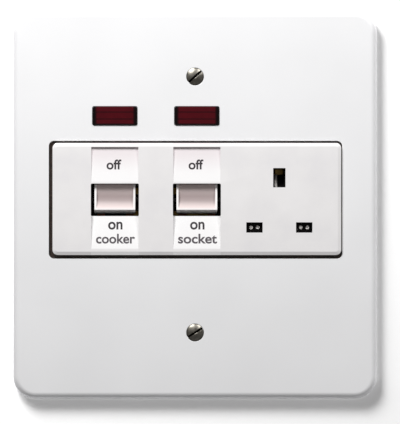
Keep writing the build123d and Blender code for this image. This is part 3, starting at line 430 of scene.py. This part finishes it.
for switch, x in bays.items():
    body = switch + "_switch"
    eased(switch + "_plungers", body, nylon, "plunger_moulding", width=0.0001)
    coils = []
    for dx in (-plunger_dx, plunger_dx):
        where = across(x + dx, pivot_z, 0, rocker_rest)
        coils.append(coil(spring_r, wire_thick, spring_foot, spring_top, spring_turns, where))
    name, springs = switch + "_plunger_coils", switch + "_plunger_springs"
    finished(joined(coils, name), name, body, wire, "spring_steel", springs, width=0, angle=60)


# Rockers: white urea mouldings, dished on the face between two thin cheeks, each on two moulded
# trunnions, with the polish of the mould. The dish is painted darkest across its upper half, as
# painted shade with some soil of fingers, and the trunnions are painted near black as painted shade
# in the gaps beside the rockers.
soil_and_shade_z = 0.0028
soil_and_shade_core = 0.0006
soil_and_shade_edge = 0.0045
lip_foot_z = -0.0021
lip_top_z = -0.0012
cheek_x = (0.0079, 0.0084)
trunnion_x = (0.00905, 0.0092)
urea_cloud = 0.0143
urea_grain = 0.00077


def away(material, value, middle):
    """How far a value lies above or below a middle one."""
    apart = add(material, "Math", {0: value, 1: middle}, operation="SUBTRACT")
    return add(material, "Math", {0: apart.outputs[0]}, operation="ABSOLUTE").outputs[0]


def from_bay_middle(material, place):
    """How far a point stands left or right of the middle of its own bay, in metres."""
    level = add(material, "SeparateXYZ", {"Vector": place})
    middle = (bays["cooker"] + bays["socket"]) / 2
    return away(material, away(material, level.outputs["X"], middle), bays["socket"] - middle)


def blended(material, factor, low, high):
    """A colour that goes from low to high with a factor. Each is a hex value or a socket."""
    first_colour, second_colour, result = 6, 7, 2
    mixed = add(material, "Mix", {"Factor": factor}, data_type="RGBA")
    for side, colour in ((first_colour, low), (second_colour, high)):
        if isinstance(colour, str):
            mixed.inputs[side].default_value = linear(colour)
        else:
            material.node_tree.links.new(colour, mixed.inputs[side])
    return mixed.outputs[result]


def between(material, value, low, high):
    """A smooth step from 0 at low to 1 at high."""
    limits = {"Value": value, "From Min": low, "From Max": high}
    return add(material, "MapRange", limits, interpolation_type="SMOOTHSTEP").outputs[0]


def soil_and_painted_shade(material, place, colour):
    """A rocker's colour, with painted shade and some soil in its dish up to the lip, and its trunnions
    painted near black as painted shade.
    """
    level = add(material, "SeparateXYZ", {"Vector": place}).outputs["Z"]
    aside = from_bay_middle(material, place)
    # The dish is darkened by painted shade, with some soil of fingers.
    soil_and_shade_mask = between(material, away(material, level, soil_and_shade_z), soil_and_shade_core, soil_and_shade_edge)
    soil_and_shade_colour = blended(material, soil_and_shade_mask, "#a09190", "#dacbc9")
    soil_and_shade_colour = blended(material, between(material, level, lip_foot_z, lip_top_z), colour, soil_and_shade_colour)
    colour = blended(material, between(material, aside, *cheek_x), soil_and_shade_colour, colour)
    # The trunnions' near black is painted shade, so that they are lost in the gaps.
    return blended(material, between(material, aside, *trunnion_x), colour, "#241f1d")


def urea(name, low, mid, high, polish, colour_changes):
    """Moulded urea: white and faintly clouded at 14 mm, under the polish of the mould, with a fine
    grain. The function given last adds painted light and shade to its colour, and on the rockers
    some soil."""
    material = new_material(name)
    place = add(material, "TexCoord", {}).outputs["Object"]
    cloud = add(material, "TexNoise", {"Vector": place, "Scale": 1 / urea_cloud, "Detail": 3})
    fine = add(material, "TexNoise", {"Vector": place, "Scale": 1 / urea_grain, "Detail": 3})
    colour = tones(material, cloud.outputs["Fac"], ((0.3, low), (0.5, mid), (0.7, high)))
    colour = colour_changes(material, place, colour)
    rub = add(material, "MapRange", {"Value": fine.outputs["Fac"], "To Min": polish, "To Max": polish + 0.12})
    flow = add(material, "Bump", {"Height": cloud.outputs["Fac"], "Strength": 0.12, "Distance": 0.0002})
    grain = add(
        material,
        "Bump",
        {"Height": fine.outputs["Fac"], "Strength": 0.1, "Distance": 0.00002, "Normal": flow.outputs[0]},
    )
    shader = add(
        material,
        "BsdfPrincipled",
        {"Base Color": colour, "Roughness": rub.outputs[0], "IOR": 1.54, "Normal": grain.outputs[0]},
    )
    add(material, "OutputMaterial", {"Surface": shader.outputs[0]})
    return material


rocker_urea = urea("moulded_urea_rocker", "#e8e5e4", "#eeebea", "#f1eeed", 0.3, soil_and_painted_shade)
for switch in bays:
    eased(switch + "_rocker", switch + "_switch", rocker_urea, "rocker_moulding", width=0.00025)


# Shutter: a black moulding whose blades close the line and neutral slots. Its ramp fills the earth
# slot, with a pale streak along a rib in the slot as a painted highlight.
rib_x = 0.0361
rib_edge = (0.0008, 0.0004)
rib_foot_z = (0.004, 0.006)
shutter_grain = 0.000714
black = new_material("black_shutter_moulding")
place = add(black, "TexCoord", {}).outputs["Object"]
fine = add(black, "TexNoise", {"Vector": place, "Scale": 1 / shutter_grain, "Detail": 4})
colour = tones(black, fine.outputs["Fac"], ((0.3, "#070606"), (0.7, "#100e0e")))
level = add(black, "SeparateXYZ", {"Vector": place})
on_rib = between(black, away(black, level.outputs["X"], rib_x), *rib_edge)
in_slot = between(black, level.outputs["Z"], *rib_foot_z)
rib_highlight = add(black, "Math", {0: on_rib, 1: in_slot}, operation="MULTIPLY")
# Painted highlight: the rib is drawn pale where it shows in the earth slot.
colour = blended(black, rib_highlight.outputs[0], colour, "#c4c0bc")
skin = add(black, "Bump", {"Height": fine.outputs["Fac"], "Strength": 0.2, "Distance": 0.00003})
shader = add(
    black,
    "BsdfPrincipled",
    {
        "Base Color": colour,
        "Roughness": 0.6,
        "IOR": 1.5,
        "Specular IOR Level": 0.1,
        "Normal": skin.outputs[0],
    },
)
add(black, "OutputMaterial", {"Surface": shader.outputs[0]})
eased("shutter", "shutter_slider", black, "shutter_moulding", width=0.00015)


# Shutter rivets: two through each blade, their domed heads dipped in tin and drawn near white as a
# painted highlight, so that they show as glints in the shaded slots. The heads are set down to 0.8 of
# their height, so that they slip under the cover as the shutter slides.
shutter_front = 0.0036
head_rise = 0.8
tin_run = 0.00111
rivet_glint = new_material("tinned_rivet_heads_painted_glint")
place = add(rivet_glint, "TexCoord", {}).outputs["Object"]
dip = add(rivet_glint, "TexNoise", {"Vector": place, "Scale": 1 / tin_run, "Detail": 3})
# Painted highlight: the tin is drawn near white so that the heads read as glints.
colour = tones(rivet_glint, dip.outputs["Fac"], ((0.3, "#f2efea"), (0.7, "#fbfaf7")))
marks = add(rivet_glint, "Bump", {"Height": dip.outputs["Fac"], "Strength": 0.2, "Distance": 0.00002})
shader = add(
    rivet_glint,
    "BsdfPrincipled",
    {"Base Color": colour, "Metallic": 0.15, "Roughness": 0.4, "Normal": marks.outputs[0]},
)
add(rivet_glint, "OutputMaterial", {"Surface": shader.outputs[0]})
heads = eased("shutter_rivets", "shutter_slider", rivet_glint, "nickel", width=0)
for vert in heads.data.vertices:
    if vert.co.y < -shutter_front:
        vert.co.y = -shutter_front + head_rise * (vert.co.y + shutter_front)


# Shutter spring: a coil of the same wire that stands on the base's post in the shutter's window,
# and is pressed shorter by the window's top as the shutter slides.
shutter_turns = 6
cad_spring = [vert.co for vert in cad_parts["shutter_spring"].data.vertices]
low, high = (Vector([pick(co[i] for co in cad_spring) for i in range(3)]) for pick in (min, max))
middle = (low + high) / 2
wound_r = (high.x - low.x) / 2 - wire_thick / 2
where = Matrix.Translation((middle.x, middle.y, 0))
data = joined([coil(wound_r, wire_thick, low.z, high.z, shutter_turns, where)], "shutter_coil")
pressed = finished(data, "shutter_coil", "unit", wire, "spring_steel", "shutter_spring", width=0, angle=60)
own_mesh(pressed)


# Cover of the insert: moulded in white urea, its edge bevelled, with stepped strips that ramp to
# the rockers and funnelled slots for a three-pin plug. Four screws from the back hold the base to it.
face_h = 0.007
face_back = 0.00405
gap_shade_h = (0.0054, 0.0044)
gap_shade_x = (0.0125, 0.0115)
strip_x = (0.01065, 0.01055)
strip_h = (0.00699, 0.00693)
strip_shade_z = (0.012, 0.0255)


def painted_light_and_shade(material, place, colour):
    """The cover's colour, with painted light and shade on its strips, whiter low down and greyer towards
    their top, and painted shade deep round the rockers.
    """
    level = add(material, "SeparateXYZ", {"Vector": place})
    aside = from_bay_middle(material, place)
    # Painted shade: faces deep in the openings round the rockers are drawn dark brown.
    deep = between(material, level.outputs["Y"], -gap_shade_h[0], -gap_shade_h[1])
    gap_shade = add(material, "Math", {0: deep, 1: between(material, aside, *gap_shade_x)}, operation="MULTIPLY")
    sunk = between(material, level.outputs["Y"], -strip_h[0], -strip_h[1])
    strip = add(material, "Math", {0: between(material, aside, *strip_x), 1: sunk}, operation="MULTIPLY")
    # Painted light and shade: the strips are whiter than the face, and greyer towards their top.
    strip_light_and_shade = blended(material, between(material, level.outputs["Z"], *strip_shade_z), "#fbfafa", "#ece4e6")
    colour = blended(material, strip.outputs[0], colour, strip_light_and_shade)
    return blended(material, gap_shade.outputs[0], colour, "#2b2624")


# Behind its front wall the cover is drawn in the base's dark moulding as painted shade, because
# its gaps look black.
cover_urea = urea("moulded_urea_cover", "#eae8e9", "#eeecec", "#f1efef", 0.24, painted_light_and_shade)
cover = eased("module_cover", "unit", cover_urea, "cover_moulding", width=0.0002, angle=15)
cover.data.materials.append(phenolic)
for face in cover.data.polygons:
    if all(cover.data.vertices[i].co.y > -face_back for i in face.vertices):
        face.material_index = 1
eased("base_screws", "unit", zinc, "plated_steel", width=0.0001)


# Lettering on the strips: off and on at the ends of each rocker's travel, and what each switch
# serves, in a soft black ink printed on the ramps.
strip_top_z = 0.0257
strip_foot_z = -0.02
opening_top_z = 0.0094
opening_foot_z = -0.0051
drop_top = 0.001
drop_low = 0.0015
ink_thick = 0.00004
ink_off = 0.00001
ink_spot = 0.000667
stroke_gain = 0.022


def printed(name, low, high):
    """Screen ink: nearly matt, and a little uneven where the mesh laid it down."""
    material = new_material(name)
    place = add(material, "TexCoord", {}).outputs["Object"]
    lay = add(material, "TexNoise", {"Vector": place, "Scale": 1 / ink_spot, "Detail": 3})
    colour = tones(material, lay.outputs["Fac"], ((0.3, low), (0.7, high)))
    shader = add(material, "BsdfPrincipled", {"Base Color": colour, "Roughness": 0.55})
    add(material, "OutputMaterial", {"Surface": shader.outputs[0]})
    return material


def lettering(word, name, material, x, z, wide, tall):
    """A word printed on a ramp of the cover, centred at x and z, as wide and tall as given."""
    text = bpy.data.curves.new(name, "FONT")
    text.body = word
    text.extrude = 0.01
    text.offset = stroke_gain
    flat = bpy.data.objects.new(name, text)
    data = bpy.data.meshes.new_from_object(flat)
    bpy.data.objects.remove(flat)
    corners = [vert.co for vert in data.vertices]
    low, high = (Vector([pick(co[i] for co in corners) for i in range(3)]) for pick in (min, max))
    size = high - low
    fit = Matrix.Diagonal((wide / size.x, tall / size.y, ink_thick / size.z, 1))
    if z > pivot_z:
        slope = asin(drop_top / (strip_top_z - opening_top_z))
        h = face_h - drop_top * (z - opening_top_z) / (strip_top_z - opening_top_z)
    else:
        slope = asin(drop_low / (opening_foot_z - strip_foot_z))
        h = face_h - drop_low * (z - strip_foot_z) / (opening_foot_z - strip_foot_z)
    lean = Matrix.Rotation(-slope, 4, "X")
    data.transform(across(x, z, h + ink_off) @ lean @ fit @ Matrix.Translation(-(low + high) / 2))
    finished(data, name, "unit", material, "cover_moulding", width=0, angle=40)


ink = printed("screen_printed_ink", "#2c282b", "#3e393d")
pale_ink = printed("screen_printed_pale_ink", "#4f4a4e", "#625c61")
for switch, x in bays.items():
    lettering("off", switch + "_off", ink, x=x - 0.0004, z=0.0179, wide=0.0066, tall=0.0045)
    lettering("on", switch + "_on", ink, x=x + 0.0002, z=-0.0094, wide=0.0064, tall=0.0035)
    lettering(switch, switch + "_word", pale_ink, x=x + 0.0003, z=-0.0152, wide=0.0174, tall=0.0044)


# Front plate: one pressing in 1.5 mm steel with a rolled rim, enamelled white inside and out, with
# threaded studs welded to its back, two dished holes for the box screws and windows for the insert
# and the lenses.
plate_w = 0.1625
plate_tall = 0.1735
sheet = 0.0015
inner_h = plate_h - sheet
plate_corner = 0.010
rim_r = 0.003
box_screws_z = (0.05715, -0.05715)
lens_z = 0.0396
lens_opening = (0.0202, 0.0086, 0.0008)
insert_opening = (0.131, 0.0526, 0.0024)
insert_x = 0.0002
studs = ((-0.0516, -0.0276), (0.0532, -0.0276), (-0.0516, 0.0307), (0.0532, 0.0307))
carrier_studs = ((-0.0529, 0.0396), (0.0179, 0.0396))
stud_r = 0.0015
stud_long = 0.0064
stud_weld = 0.0002
stud_thread = 0.00018
stud_pitch = 0.0005

# Each opening is its width, height and corner. The dishes are (radius, height) outlines: the boss
# pressed out at the back, from the sheet's inner face, and the hollow with its hole, from the front.
dish_back = [(0, -0.0014), (0.0046, -0.0014), (0.0056, 0.0003), (0, 0.0003)]
dish = [(0, -0.005), (0.0021, -0.005), (0.0021, -0.0021), (0.0044, 0.0004), (0, 0.0004)]


def rounded(w, tall, corner, segments):
    """A flat rectangle with rounded corners, about the origin."""
    shape = bmesh.new()
    bmesh.ops.create_grid(shape, x_segments=1, y_segments=1, size=0.5)
    bmesh.ops.scale(shape, vec=(w, tall, 1), verts=shape.verts)
    bmesh.ops.bevel(
        shape,
        geom=shape.verts[:],
        offset=corner,
        segments=segments,
        profile=0.5,
        affect="VERTICES",
        material=-1,
    )
    return shape


def raised(shape, h, closed):
    """A flat shape raised by h. Closed keeps its first face as the foot of the block."""
    risen = bmesh.ops.extrude_face_region(shape, geom=shape.faces[:], use_keep_orig=closed)
    top = [item for item in risen["geom"] if isinstance(item, bmesh.types.BMVert)]
    bmesh.ops.translate(shape, vec=(0, 0, h), verts=top)


def cutter(w, tall, corner, x, z):
    """A block with rounded corners about x and z that goes through the plate from the wall."""
    through = 0.01
    shape = rounded(w, tall, corner, segments=12)
    raised(shape, through, closed=True)
    bmesh.ops.recalc_face_normals(shape, faces=shape.faces)
    bmesh.ops.transform(shape, matrix=across(x, z, 0), verts=shape.verts)
    return shape


def turned(profile, where, steps=48):
    """A closed turned shape from (radius, height) points that start and end on the axis."""
    shape = bmesh.new()
    verts = [shape.verts.new((radius, 0, height)) for radius, height in profile]
    edges = [shape.edges.new(pair) for pair in zip(verts, verts[1:])]
    bmesh.ops.spin(
        shape,
        geom=verts + edges,
        axis=(0, 0, 1),
        cent=(0, 0, 0),
        angle=2 * pi,
        steps=steps,
        use_merge=True,
    )
    bmesh.ops.remove_doubles(shape, verts=shape.verts, dist=1e-7)
    bmesh.ops.recalc_face_normals(shape, faces=shape.faces)
    bmesh.ops.transform(shape, matrix=where, verts=shape.verts)
    return shape


def threaded(radius, depth, pitch, foot, top, where, steps=24):
    """A screwed shank between foot and top on its own z, with rolled ridges over a plain foot."""
    flat = 0.0001
    start = 0.0002
    crest = (0.4 * pitch, 0.55 * pitch)
    count = int((top - foot - flat - start) / pitch)
    root = radius - depth
    profile = [(0, foot), (root, foot), (root, foot + flat)]
    for i in range(count):
        low = foot + start + i * pitch
        profile += [(root, low), (radius, low + crest[0]), (radius, low + crest[1])]
    profile += [(root, foot + start + count * pitch), (root, top), (0, top)]
    return turned(profile, where, steps=steps)


def cut(data, tools, operation="DIFFERENCE"):
    """The mesh after one boolean with all of the bmesh tools."""
    blade = bpy.data.objects.new("tool", joined(tools, "tool"))
    stock = bpy.data.objects.new("stock", data)
    for thing in (blade, stock):
        scene.collection.objects.link(thing)
    boolean = stock.modifiers.new("cut", "BOOLEAN")
    boolean.object = blade
    boolean.operation = operation
    boolean.solver = "EXACT"
    bpy.context.view_layer.update()
    done = bpy.data.meshes.new_from_object(stock.evaluated_get(bpy.context.evaluated_depsgraph_get()))
    bpy.data.objects.remove(stock)
    bpy.data.objects.remove(blade)
    return done


# The pressing is drawn as its outer skin, open at the back, and is then given the sheet's thickness
# inwards.
pressing = rounded(plate_w, plate_tall, plate_corner, segments=20)
raised(pressing, plate_h, closed=False)
back = [face for face in pressing.faces if all(vert.co.z < plate_h / 2 for vert in face.verts)]
bmesh.ops.delete(pressing, geom=back, context="FACES_ONLY")
rim = [edge for edge in pressing.edges if all(vert.co.z > plate_h / 2 for vert in edge.verts)]
bmesh.ops.bevel(pressing, geom=rim, offset=rim_r, segments=10, profile=0.5, affect="EDGES", material=-1)
bmesh.ops.recalc_face_normals(pressing, faces=pressing.faces)
if max(pressing.faces, key=lambda face: face.calc_area()).normal.z < 0:
    bmesh.ops.reverse_faces(pressing, faces=pressing.faces)
bmesh.ops.transform(pressing, matrix=across(0, 0, 0), verts=pressing.verts)
skin_data = bpy.data.meshes.new("front_plate_pressing")
pressing.to_mesh(skin_data)
pressing.free()
shell = bpy.data.objects.new("shell", skin_data)
scene.collection.objects.link(shell)
thick = shell.modifiers.new("sheet", "SOLIDIFY")
thick.thickness = sheet
thick.offset = -1
thick.use_even_offset = True
bpy.context.view_layer.update()
plate_data = bpy.data.meshes.new_from_object(shell.evaluated_get(bpy.context.evaluated_depsgraph_get()))
bpy.data.objects.remove(shell)

bosses = [turned(dish_back, across(0, z, inner_h)) for z in box_screws_z]
plate_data = cut(plate_data, bosses, operation="UNION")
openings = [turned(dish, across(0, z, plate_h)) for z in box_screws_z]
openings += [cutter(*lens_opening, x, lens_z) for x in bays.values()]
openings.append(cutter(*insert_opening, insert_x, pivot_z))
plate_data = cut(plate_data, openings)

# Stoved enamel: gloss white over the steel, with the long low waves of orange peel at about 2 mm,
# and a tone that drifts over 40 mm.
peel_wave = 0.00238
tone_drift = 0.04
enamel = new_material("stoved_white_enamel")
place = add(enamel, "TexCoord", {}).outputs["Object"]
waves = {"Vector": place, "Scale": 1 / peel_wave, "Detail": 1.5, "Roughness": 0.4}
peel = add(enamel, "TexNoise", waves)
cloud = add(enamel, "TexNoise", {"Vector": place, "Scale": 1 / tone_drift, "Detail": 2})
colour = tones(enamel, cloud.outputs["Fac"], ((0.3, "#eeeeef"), (0.7, "#f2f2f3")))
wave = add(enamel, "Bump", {"Height": peel.outputs["Fac"], "Strength": 0.06, "Distance": 0.0001})
rub = add(enamel, "MapRange", {"Value": cloud.outputs["Fac"], "To Min": 0.3, "To Max": 0.36})
shader = add(
    enamel,
    "BsdfPrincipled",
    {
        "Base Color": colour,
        "Roughness": rub.outputs[0],
        "IOR": 1.5,
        "Coat Weight": 0.25,
        "Coat Roughness": 0.2,
        "Normal": wave.outputs[0],
    },
)
add(enamel, "OutputMaterial", {"Surface": shader.outputs[0]})
finished(plate_data, "plate_pressing", "unit", enamel, "enamel", "front_plate", width=0.00012, angle=40)

foot, top = inner_h - stud_long, inner_h + stud_weld
threads = []
for x, z in studs + carrier_studs:
    threads.append(threaded(stud_r, stud_thread, stud_pitch, foot, top, across(x, z, 0)))
studs_data = joined(threads, "plate_studs")
finished(studs_data, "plate_studs", "unit", zinc, "plated_steel", width=0, angle=25)


# Nuts, washers and earth strap: zinc-plated steel nuts on washers hold the insert and the carrier to
# the studs, and a strap of copper, dipped in tin, bonds the plate to the earth terminal.
eased("plate_nuts", "unit", zinc, "plated_steel", width=0.00018)
eased("plate_washers", "unit", zinc, "plated_steel", width=0.00006)
dip_patch = 0.00263
tin = new_material("tinned_copper_strap")
place = add(tin, "TexCoord", {}).outputs["Object"]
dip = add(tin, "TexNoise", {"Vector": place, "Scale": 1 / dip_patch, "Detail": 4})
colour = tones(tin, dip.outputs["Fac"], ((0.3, "#9d9b95"), (0.5, "#b4b3ae"), (0.72, "#c2c1bd")))
dull = add(tin, "MapRange", {"Value": dip.outputs["Fac"], "To Min": 0.3, "To Max": 0.5})
runs = add(tin, "Bump", {"Height": dip.outputs["Fac"], "Strength": 0.35, "Distance": 0.00004})
shader = add(
    tin,
    "BsdfPrincipled",
    {"Base Color": colour, "Metallic": 1.0, "Roughness": dull.outputs[0], "Normal": runs.outputs[0]},
)
add(tin, "OutputMaterial", {"Surface": shader.outputs[0]})
eased("earth_strap", "unit", tin, "tinned_copper", width=0.00008)


# Neon indicators: blown glass lamps with their lacquered resistors in a nylon trough behind the
# plate, on sleeved leads that run down to the base.
eased("neon_carrier", "unit", nylon, "carrier_moulding", width=0.0002)
glass_wave = 0.00333
glass = new_material("clear_lamp_glass")
place = add(glass, "TexCoord", {}).outputs["Object"]
draw = add(glass, "TexNoise", {"Vector": place, "Scale": 1 / glass_wave, "Detail": 2})
wave = add(glass, "Bump", {"Height": draw.outputs["Fac"], "Strength": 0.15, "Distance": 0.00005})
tint = tones(glass, draw.outputs["Fac"], ((0.3, "#e8dcd4"), (0.7, "#f2ebe6")))
shader = add(
    glass,
    "BsdfPrincipled",
    {
        "Base Color": tint,
        "Roughness": 0.05,
        "IOR": 1.5,
        "Transmission Weight": 0.9,
        "Normal": wave.outputs[0],
    },
)
add(glass, "OutputMaterial", {"Surface": shader.outputs[0]})
eased("neon_lamps", "unit", glass, "lamp_glass", width=0)

# Resistor lacquer: tan, glossy, and lumpy at 2 mm where it was dipped.
lacquer_lump = 0.002
lacquer = new_material("lacquered_resistor")
place = add(lacquer, "TexCoord", {}).outputs["Object"]
dip = add(lacquer, "TexNoise", {"Vector": place, "Scale": 1 / lacquer_lump, "Detail": 3})
colour = tones(lacquer, dip.outputs["Fac"], ((0.3, "#a98a5f"), (0.7, "#c3a377")))
skin = add(lacquer, "Bump", {"Height": dip.outputs["Fac"], "Strength": 0.2, "Distance": 0.00003})
shader = add(lacquer, "BsdfPrincipled", {"Base Color": colour, "Roughness": 0.35, "Normal": skin.outputs[0]})
add(lacquer, "OutputMaterial", {"Surface": shader.outputs[0]})
eased("neon_resistors", "unit", lacquer, "resistor_body", width=0)

# Lead sleeve: extruded over the wire, off-white and dull, uneven at about a millimetre.
sleeve_draw = 0.00111
sleeve = new_material("extruded_lead_sleeve")
place = add(sleeve, "TexCoord", {}).outputs["Object"]
draw = add(sleeve, "TexNoise", {"Vector": place, "Scale": 1 / sleeve_draw, "Detail": 3})
colour = tones(sleeve, draw.outputs["Fac"], ((0.3, "#c8c4b8"), (0.7, "#dcd8cc")))
skin = add(sleeve, "Bump", {"Height": draw.outputs["Fac"], "Strength": 0.2, "Distance": 0.00003})
shader = add(sleeve, "BsdfPrincipled", {"Base Color": colour, "Roughness": 0.5, "Normal": skin.outputs[0]})
add(sleeve, "OutputMaterial", {"Surface": shader.outputs[0]})
eased("neon_leads", "unit", sleeve, "lead_sleeve", width=0)


# Lenses: moulded in polished red acrylic and held in their windows from behind. Their colour is
# painted near black at the ends and along the foot as painted shade, where side walls stand behind
# the face, and darker along two lines as painted shade where ribs cross the back.
lens_end = (0.0079, 0.0089)
lens_foot = (lens_z - 0.0039, lens_z - 0.0032)
ribs_z = (0.0413, 0.0382)
rib_fade = (0.0001, 0.0005)
rib_light = (0.6, 1.0)
swirl_wide = 0.00417
acrylic = new_material("dark_red_acrylic")
place = add(acrylic, "TexCoord", {}).outputs["Object"]
swirl = add(acrylic, "TexNoise", {"Vector": place, "Scale": 1 / swirl_wide, "Detail": 3})
level = add(acrylic, "SeparateXYZ", {"Vector": place}).outputs["Z"]
reach = {"From Min": lens_end[0], "From Max": lens_end[1], "To Min": 1.0, "To Max": 0.0}
end_shade = add(acrylic, "MapRange", {"Value": from_bay_middle(acrylic, place), **reach})
foot = add(acrylic, "MapRange", {"Value": level, "From Min": lens_foot[0], "From Max": lens_foot[1]})
lit = add(acrylic, "Math", {0: end_shade.outputs[0], 1: foot.outputs[0]}, operation="MULTIPLY").outputs[0]
reach = {"From Min": rib_fade[0], "From Max": rib_fade[1], "To Min": rib_light[0], "To Max": rib_light[1]}
for rib_z in ribs_z:
    rib = add(acrylic, "MapRange", {"Value": away(acrylic, level, rib_z), **reach})
    lit = add(acrylic, "Math", {0: lit, 1: rib.outputs[0]}, operation="MULTIPLY").outputs[0]
veined = add(acrylic, "Math", {0: swirl.outputs["Fac"], 1: 0.3, 2: 0.65}, operation="MULTIPLY_ADD")
lit = add(acrylic, "Math", {0: lit, 1: veined.outputs[0]}, operation="MULTIPLY").outputs[0]
# Painted shade: the red is darkest at the ends, the foot and the rib lines.
colour = tones(acrylic, lit, ((0.0, "#0a0203"), (0.4, "#2c0309"), (0.8, "#4b0611"), (1.0, "#5a0915")))
shader = add(
    acrylic,
    "BsdfPrincipled",
    {
        "Base Color": colour,
        "Roughness": 0.16,
        "IOR": 1.49,
        "Transmission Weight": 0.12,
        "Specular IOR Level": 0.3,
        "Coat Weight": 0.2,
        "Coat Roughness": 0.05,
    },
)
add(acrylic, "OutputMaterial", {"Surface": shader.outputs[0]})
for switch in bays:
    eased(switch + "_lens", "unit", acrylic, "red_lens", width=0.0001)


# Box screws: M3.5 screws with raised countersunk heads, nickel plated, one slot each, left turned
# by different amounts. They fix the plate to the box in the wall.
head_r = 0.0039
dome_rise = 0.001
shank_r = 0.0017
countersink = [(0, -0.0021), (shank_r, -0.0021), (0.0037, -0.00022), (0.00388, -0.0001)]
neck_r = 0.0015
neck_top = -0.0018
screw_end = -0.0275
thread_r = 0.00175
thread_depth = 0.00022
thread_pitch = 0.0006
thread_end = -0.022
slot_wide = 0.0009
slot_deep = 0.0024
slot_middle_h = 0.001
slot_past_head = 0.012
slot_edge = 0.0002
on_slot_side = 2e-6
above_plate = 0.0001
upper_turn = 42
lower_turn = 32

# Nickel plate: bright and slightly warm, softened by a haze at a millimetre and a half, with painted
# shade where it lies low in the slot and round the rim.
haze_patch = 0.00143
slot_shade_h = (0.00572, 0.0054)
nickel = new_material("bright_nickel_plate")
place = add(nickel, "TexCoord", {}).outputs["Object"]
haze = add(nickel, "TexNoise", {"Vector": place, "Scale": 1 / haze_patch, "Detail": 4})
colour = tones(nickel, haze.outputs["Fac"], ((0.35, "#827e75"), (0.65, "#98948b")))
level = add(nickel, "SeparateXYZ", {"Vector": place}).outputs["Y"]
# Painted shade: low in the slot and round the rim the nickel is drawn near black.
colour = blended(nickel, between(nickel, level, -slot_shade_h[0], -slot_shade_h[1]), colour, "#1c1a18")
dull = add(nickel, "MapRange", {"Value": haze.outputs["Fac"], "To Min": 0.3, "To Max": 0.4})
marks = add(nickel, "Bump", {"Height": haze.outputs["Fac"], "Strength": 0.12, "Distance": 0.00002})
shader = add(
    nickel,
    "BsdfPrincipled",
    {"Base Color": colour, "Metallic": 1.0, "Roughness": dull.outputs[0], "Normal": marks.outputs[0]},
)
add(nickel, "OutputMaterial", {"Surface": shader.outputs[0]})


def dome(radius, rise, count):
    """Points of a shallow dome from its rim to its top."""
    ball = (radius**2 + rise**2) / (2 * rise)
    start = asin(radius / ball)
    slopes = [start * i / count for i in range(count, -1, -1)]
    return [(ball * sin(slope), ball * cos(slope) - (ball - rise)) for slope in slopes]


for name, z, turn in (("upper", box_screws_z[0], upper_turn), ("lower", box_screws_z[1], lower_turn)):
    on_plate = across(0, z, plate_h)
    blank = turned(countersink + dome(head_r, dome_rise, count=10), on_plate, steps=64)
    slot = bmesh.new()
    bmesh.ops.create_cube(slot, size=1.0)
    bmesh.ops.scale(slot, vec=(slot_past_head, slot_wide, slot_deep), verts=slot.verts)
    bmesh.ops.rotate(slot, matrix=Matrix.Rotation(radians(turn), 3, "Z"), verts=slot.verts)
    bmesh.ops.transform(slot, matrix=across(0, z, plate_h + slot_middle_h), verts=slot.verts)
    head = bmesh.new()
    head.from_mesh(cut(joined([blank], name + "_head"), [slot]))
    side = Vector((-sin(radians(turn)), 0, cos(radians(turn))))
    middle = Vector((0, 0, z))
    rims = [
        edge
        for edge in head.edges
        if all(abs(abs((vert.co - middle).dot(side)) - slot_wide / 2) < on_slot_side for vert in edge.verts)
        and all(vert.co.y < -plate_h - above_plate for vert in edge.verts)
    ]
    bmesh.ops.bevel(head, geom=rims, offset=slot_edge, segments=3, profile=0.5, affect="EDGES", material=-1)
    stem = [(0, screw_end), (neck_r, screw_end), (neck_r, neck_top), (0, neck_top)]
    neck = turned(stem, on_plate, steps=32)
    thread = threaded(thread_r, thread_depth, thread_pitch, thread_end, 0.0, across(0, z, 0), steps=32)
    screw = name + "_box_screw"
    data = joined([head, neck, thread], screw)
    stands_for = ("box_screws",) if name == "upper" else ()
    finished(data, screw, "unit", nickel, "nickel", *stands_for, width=0.00008, angle=35)
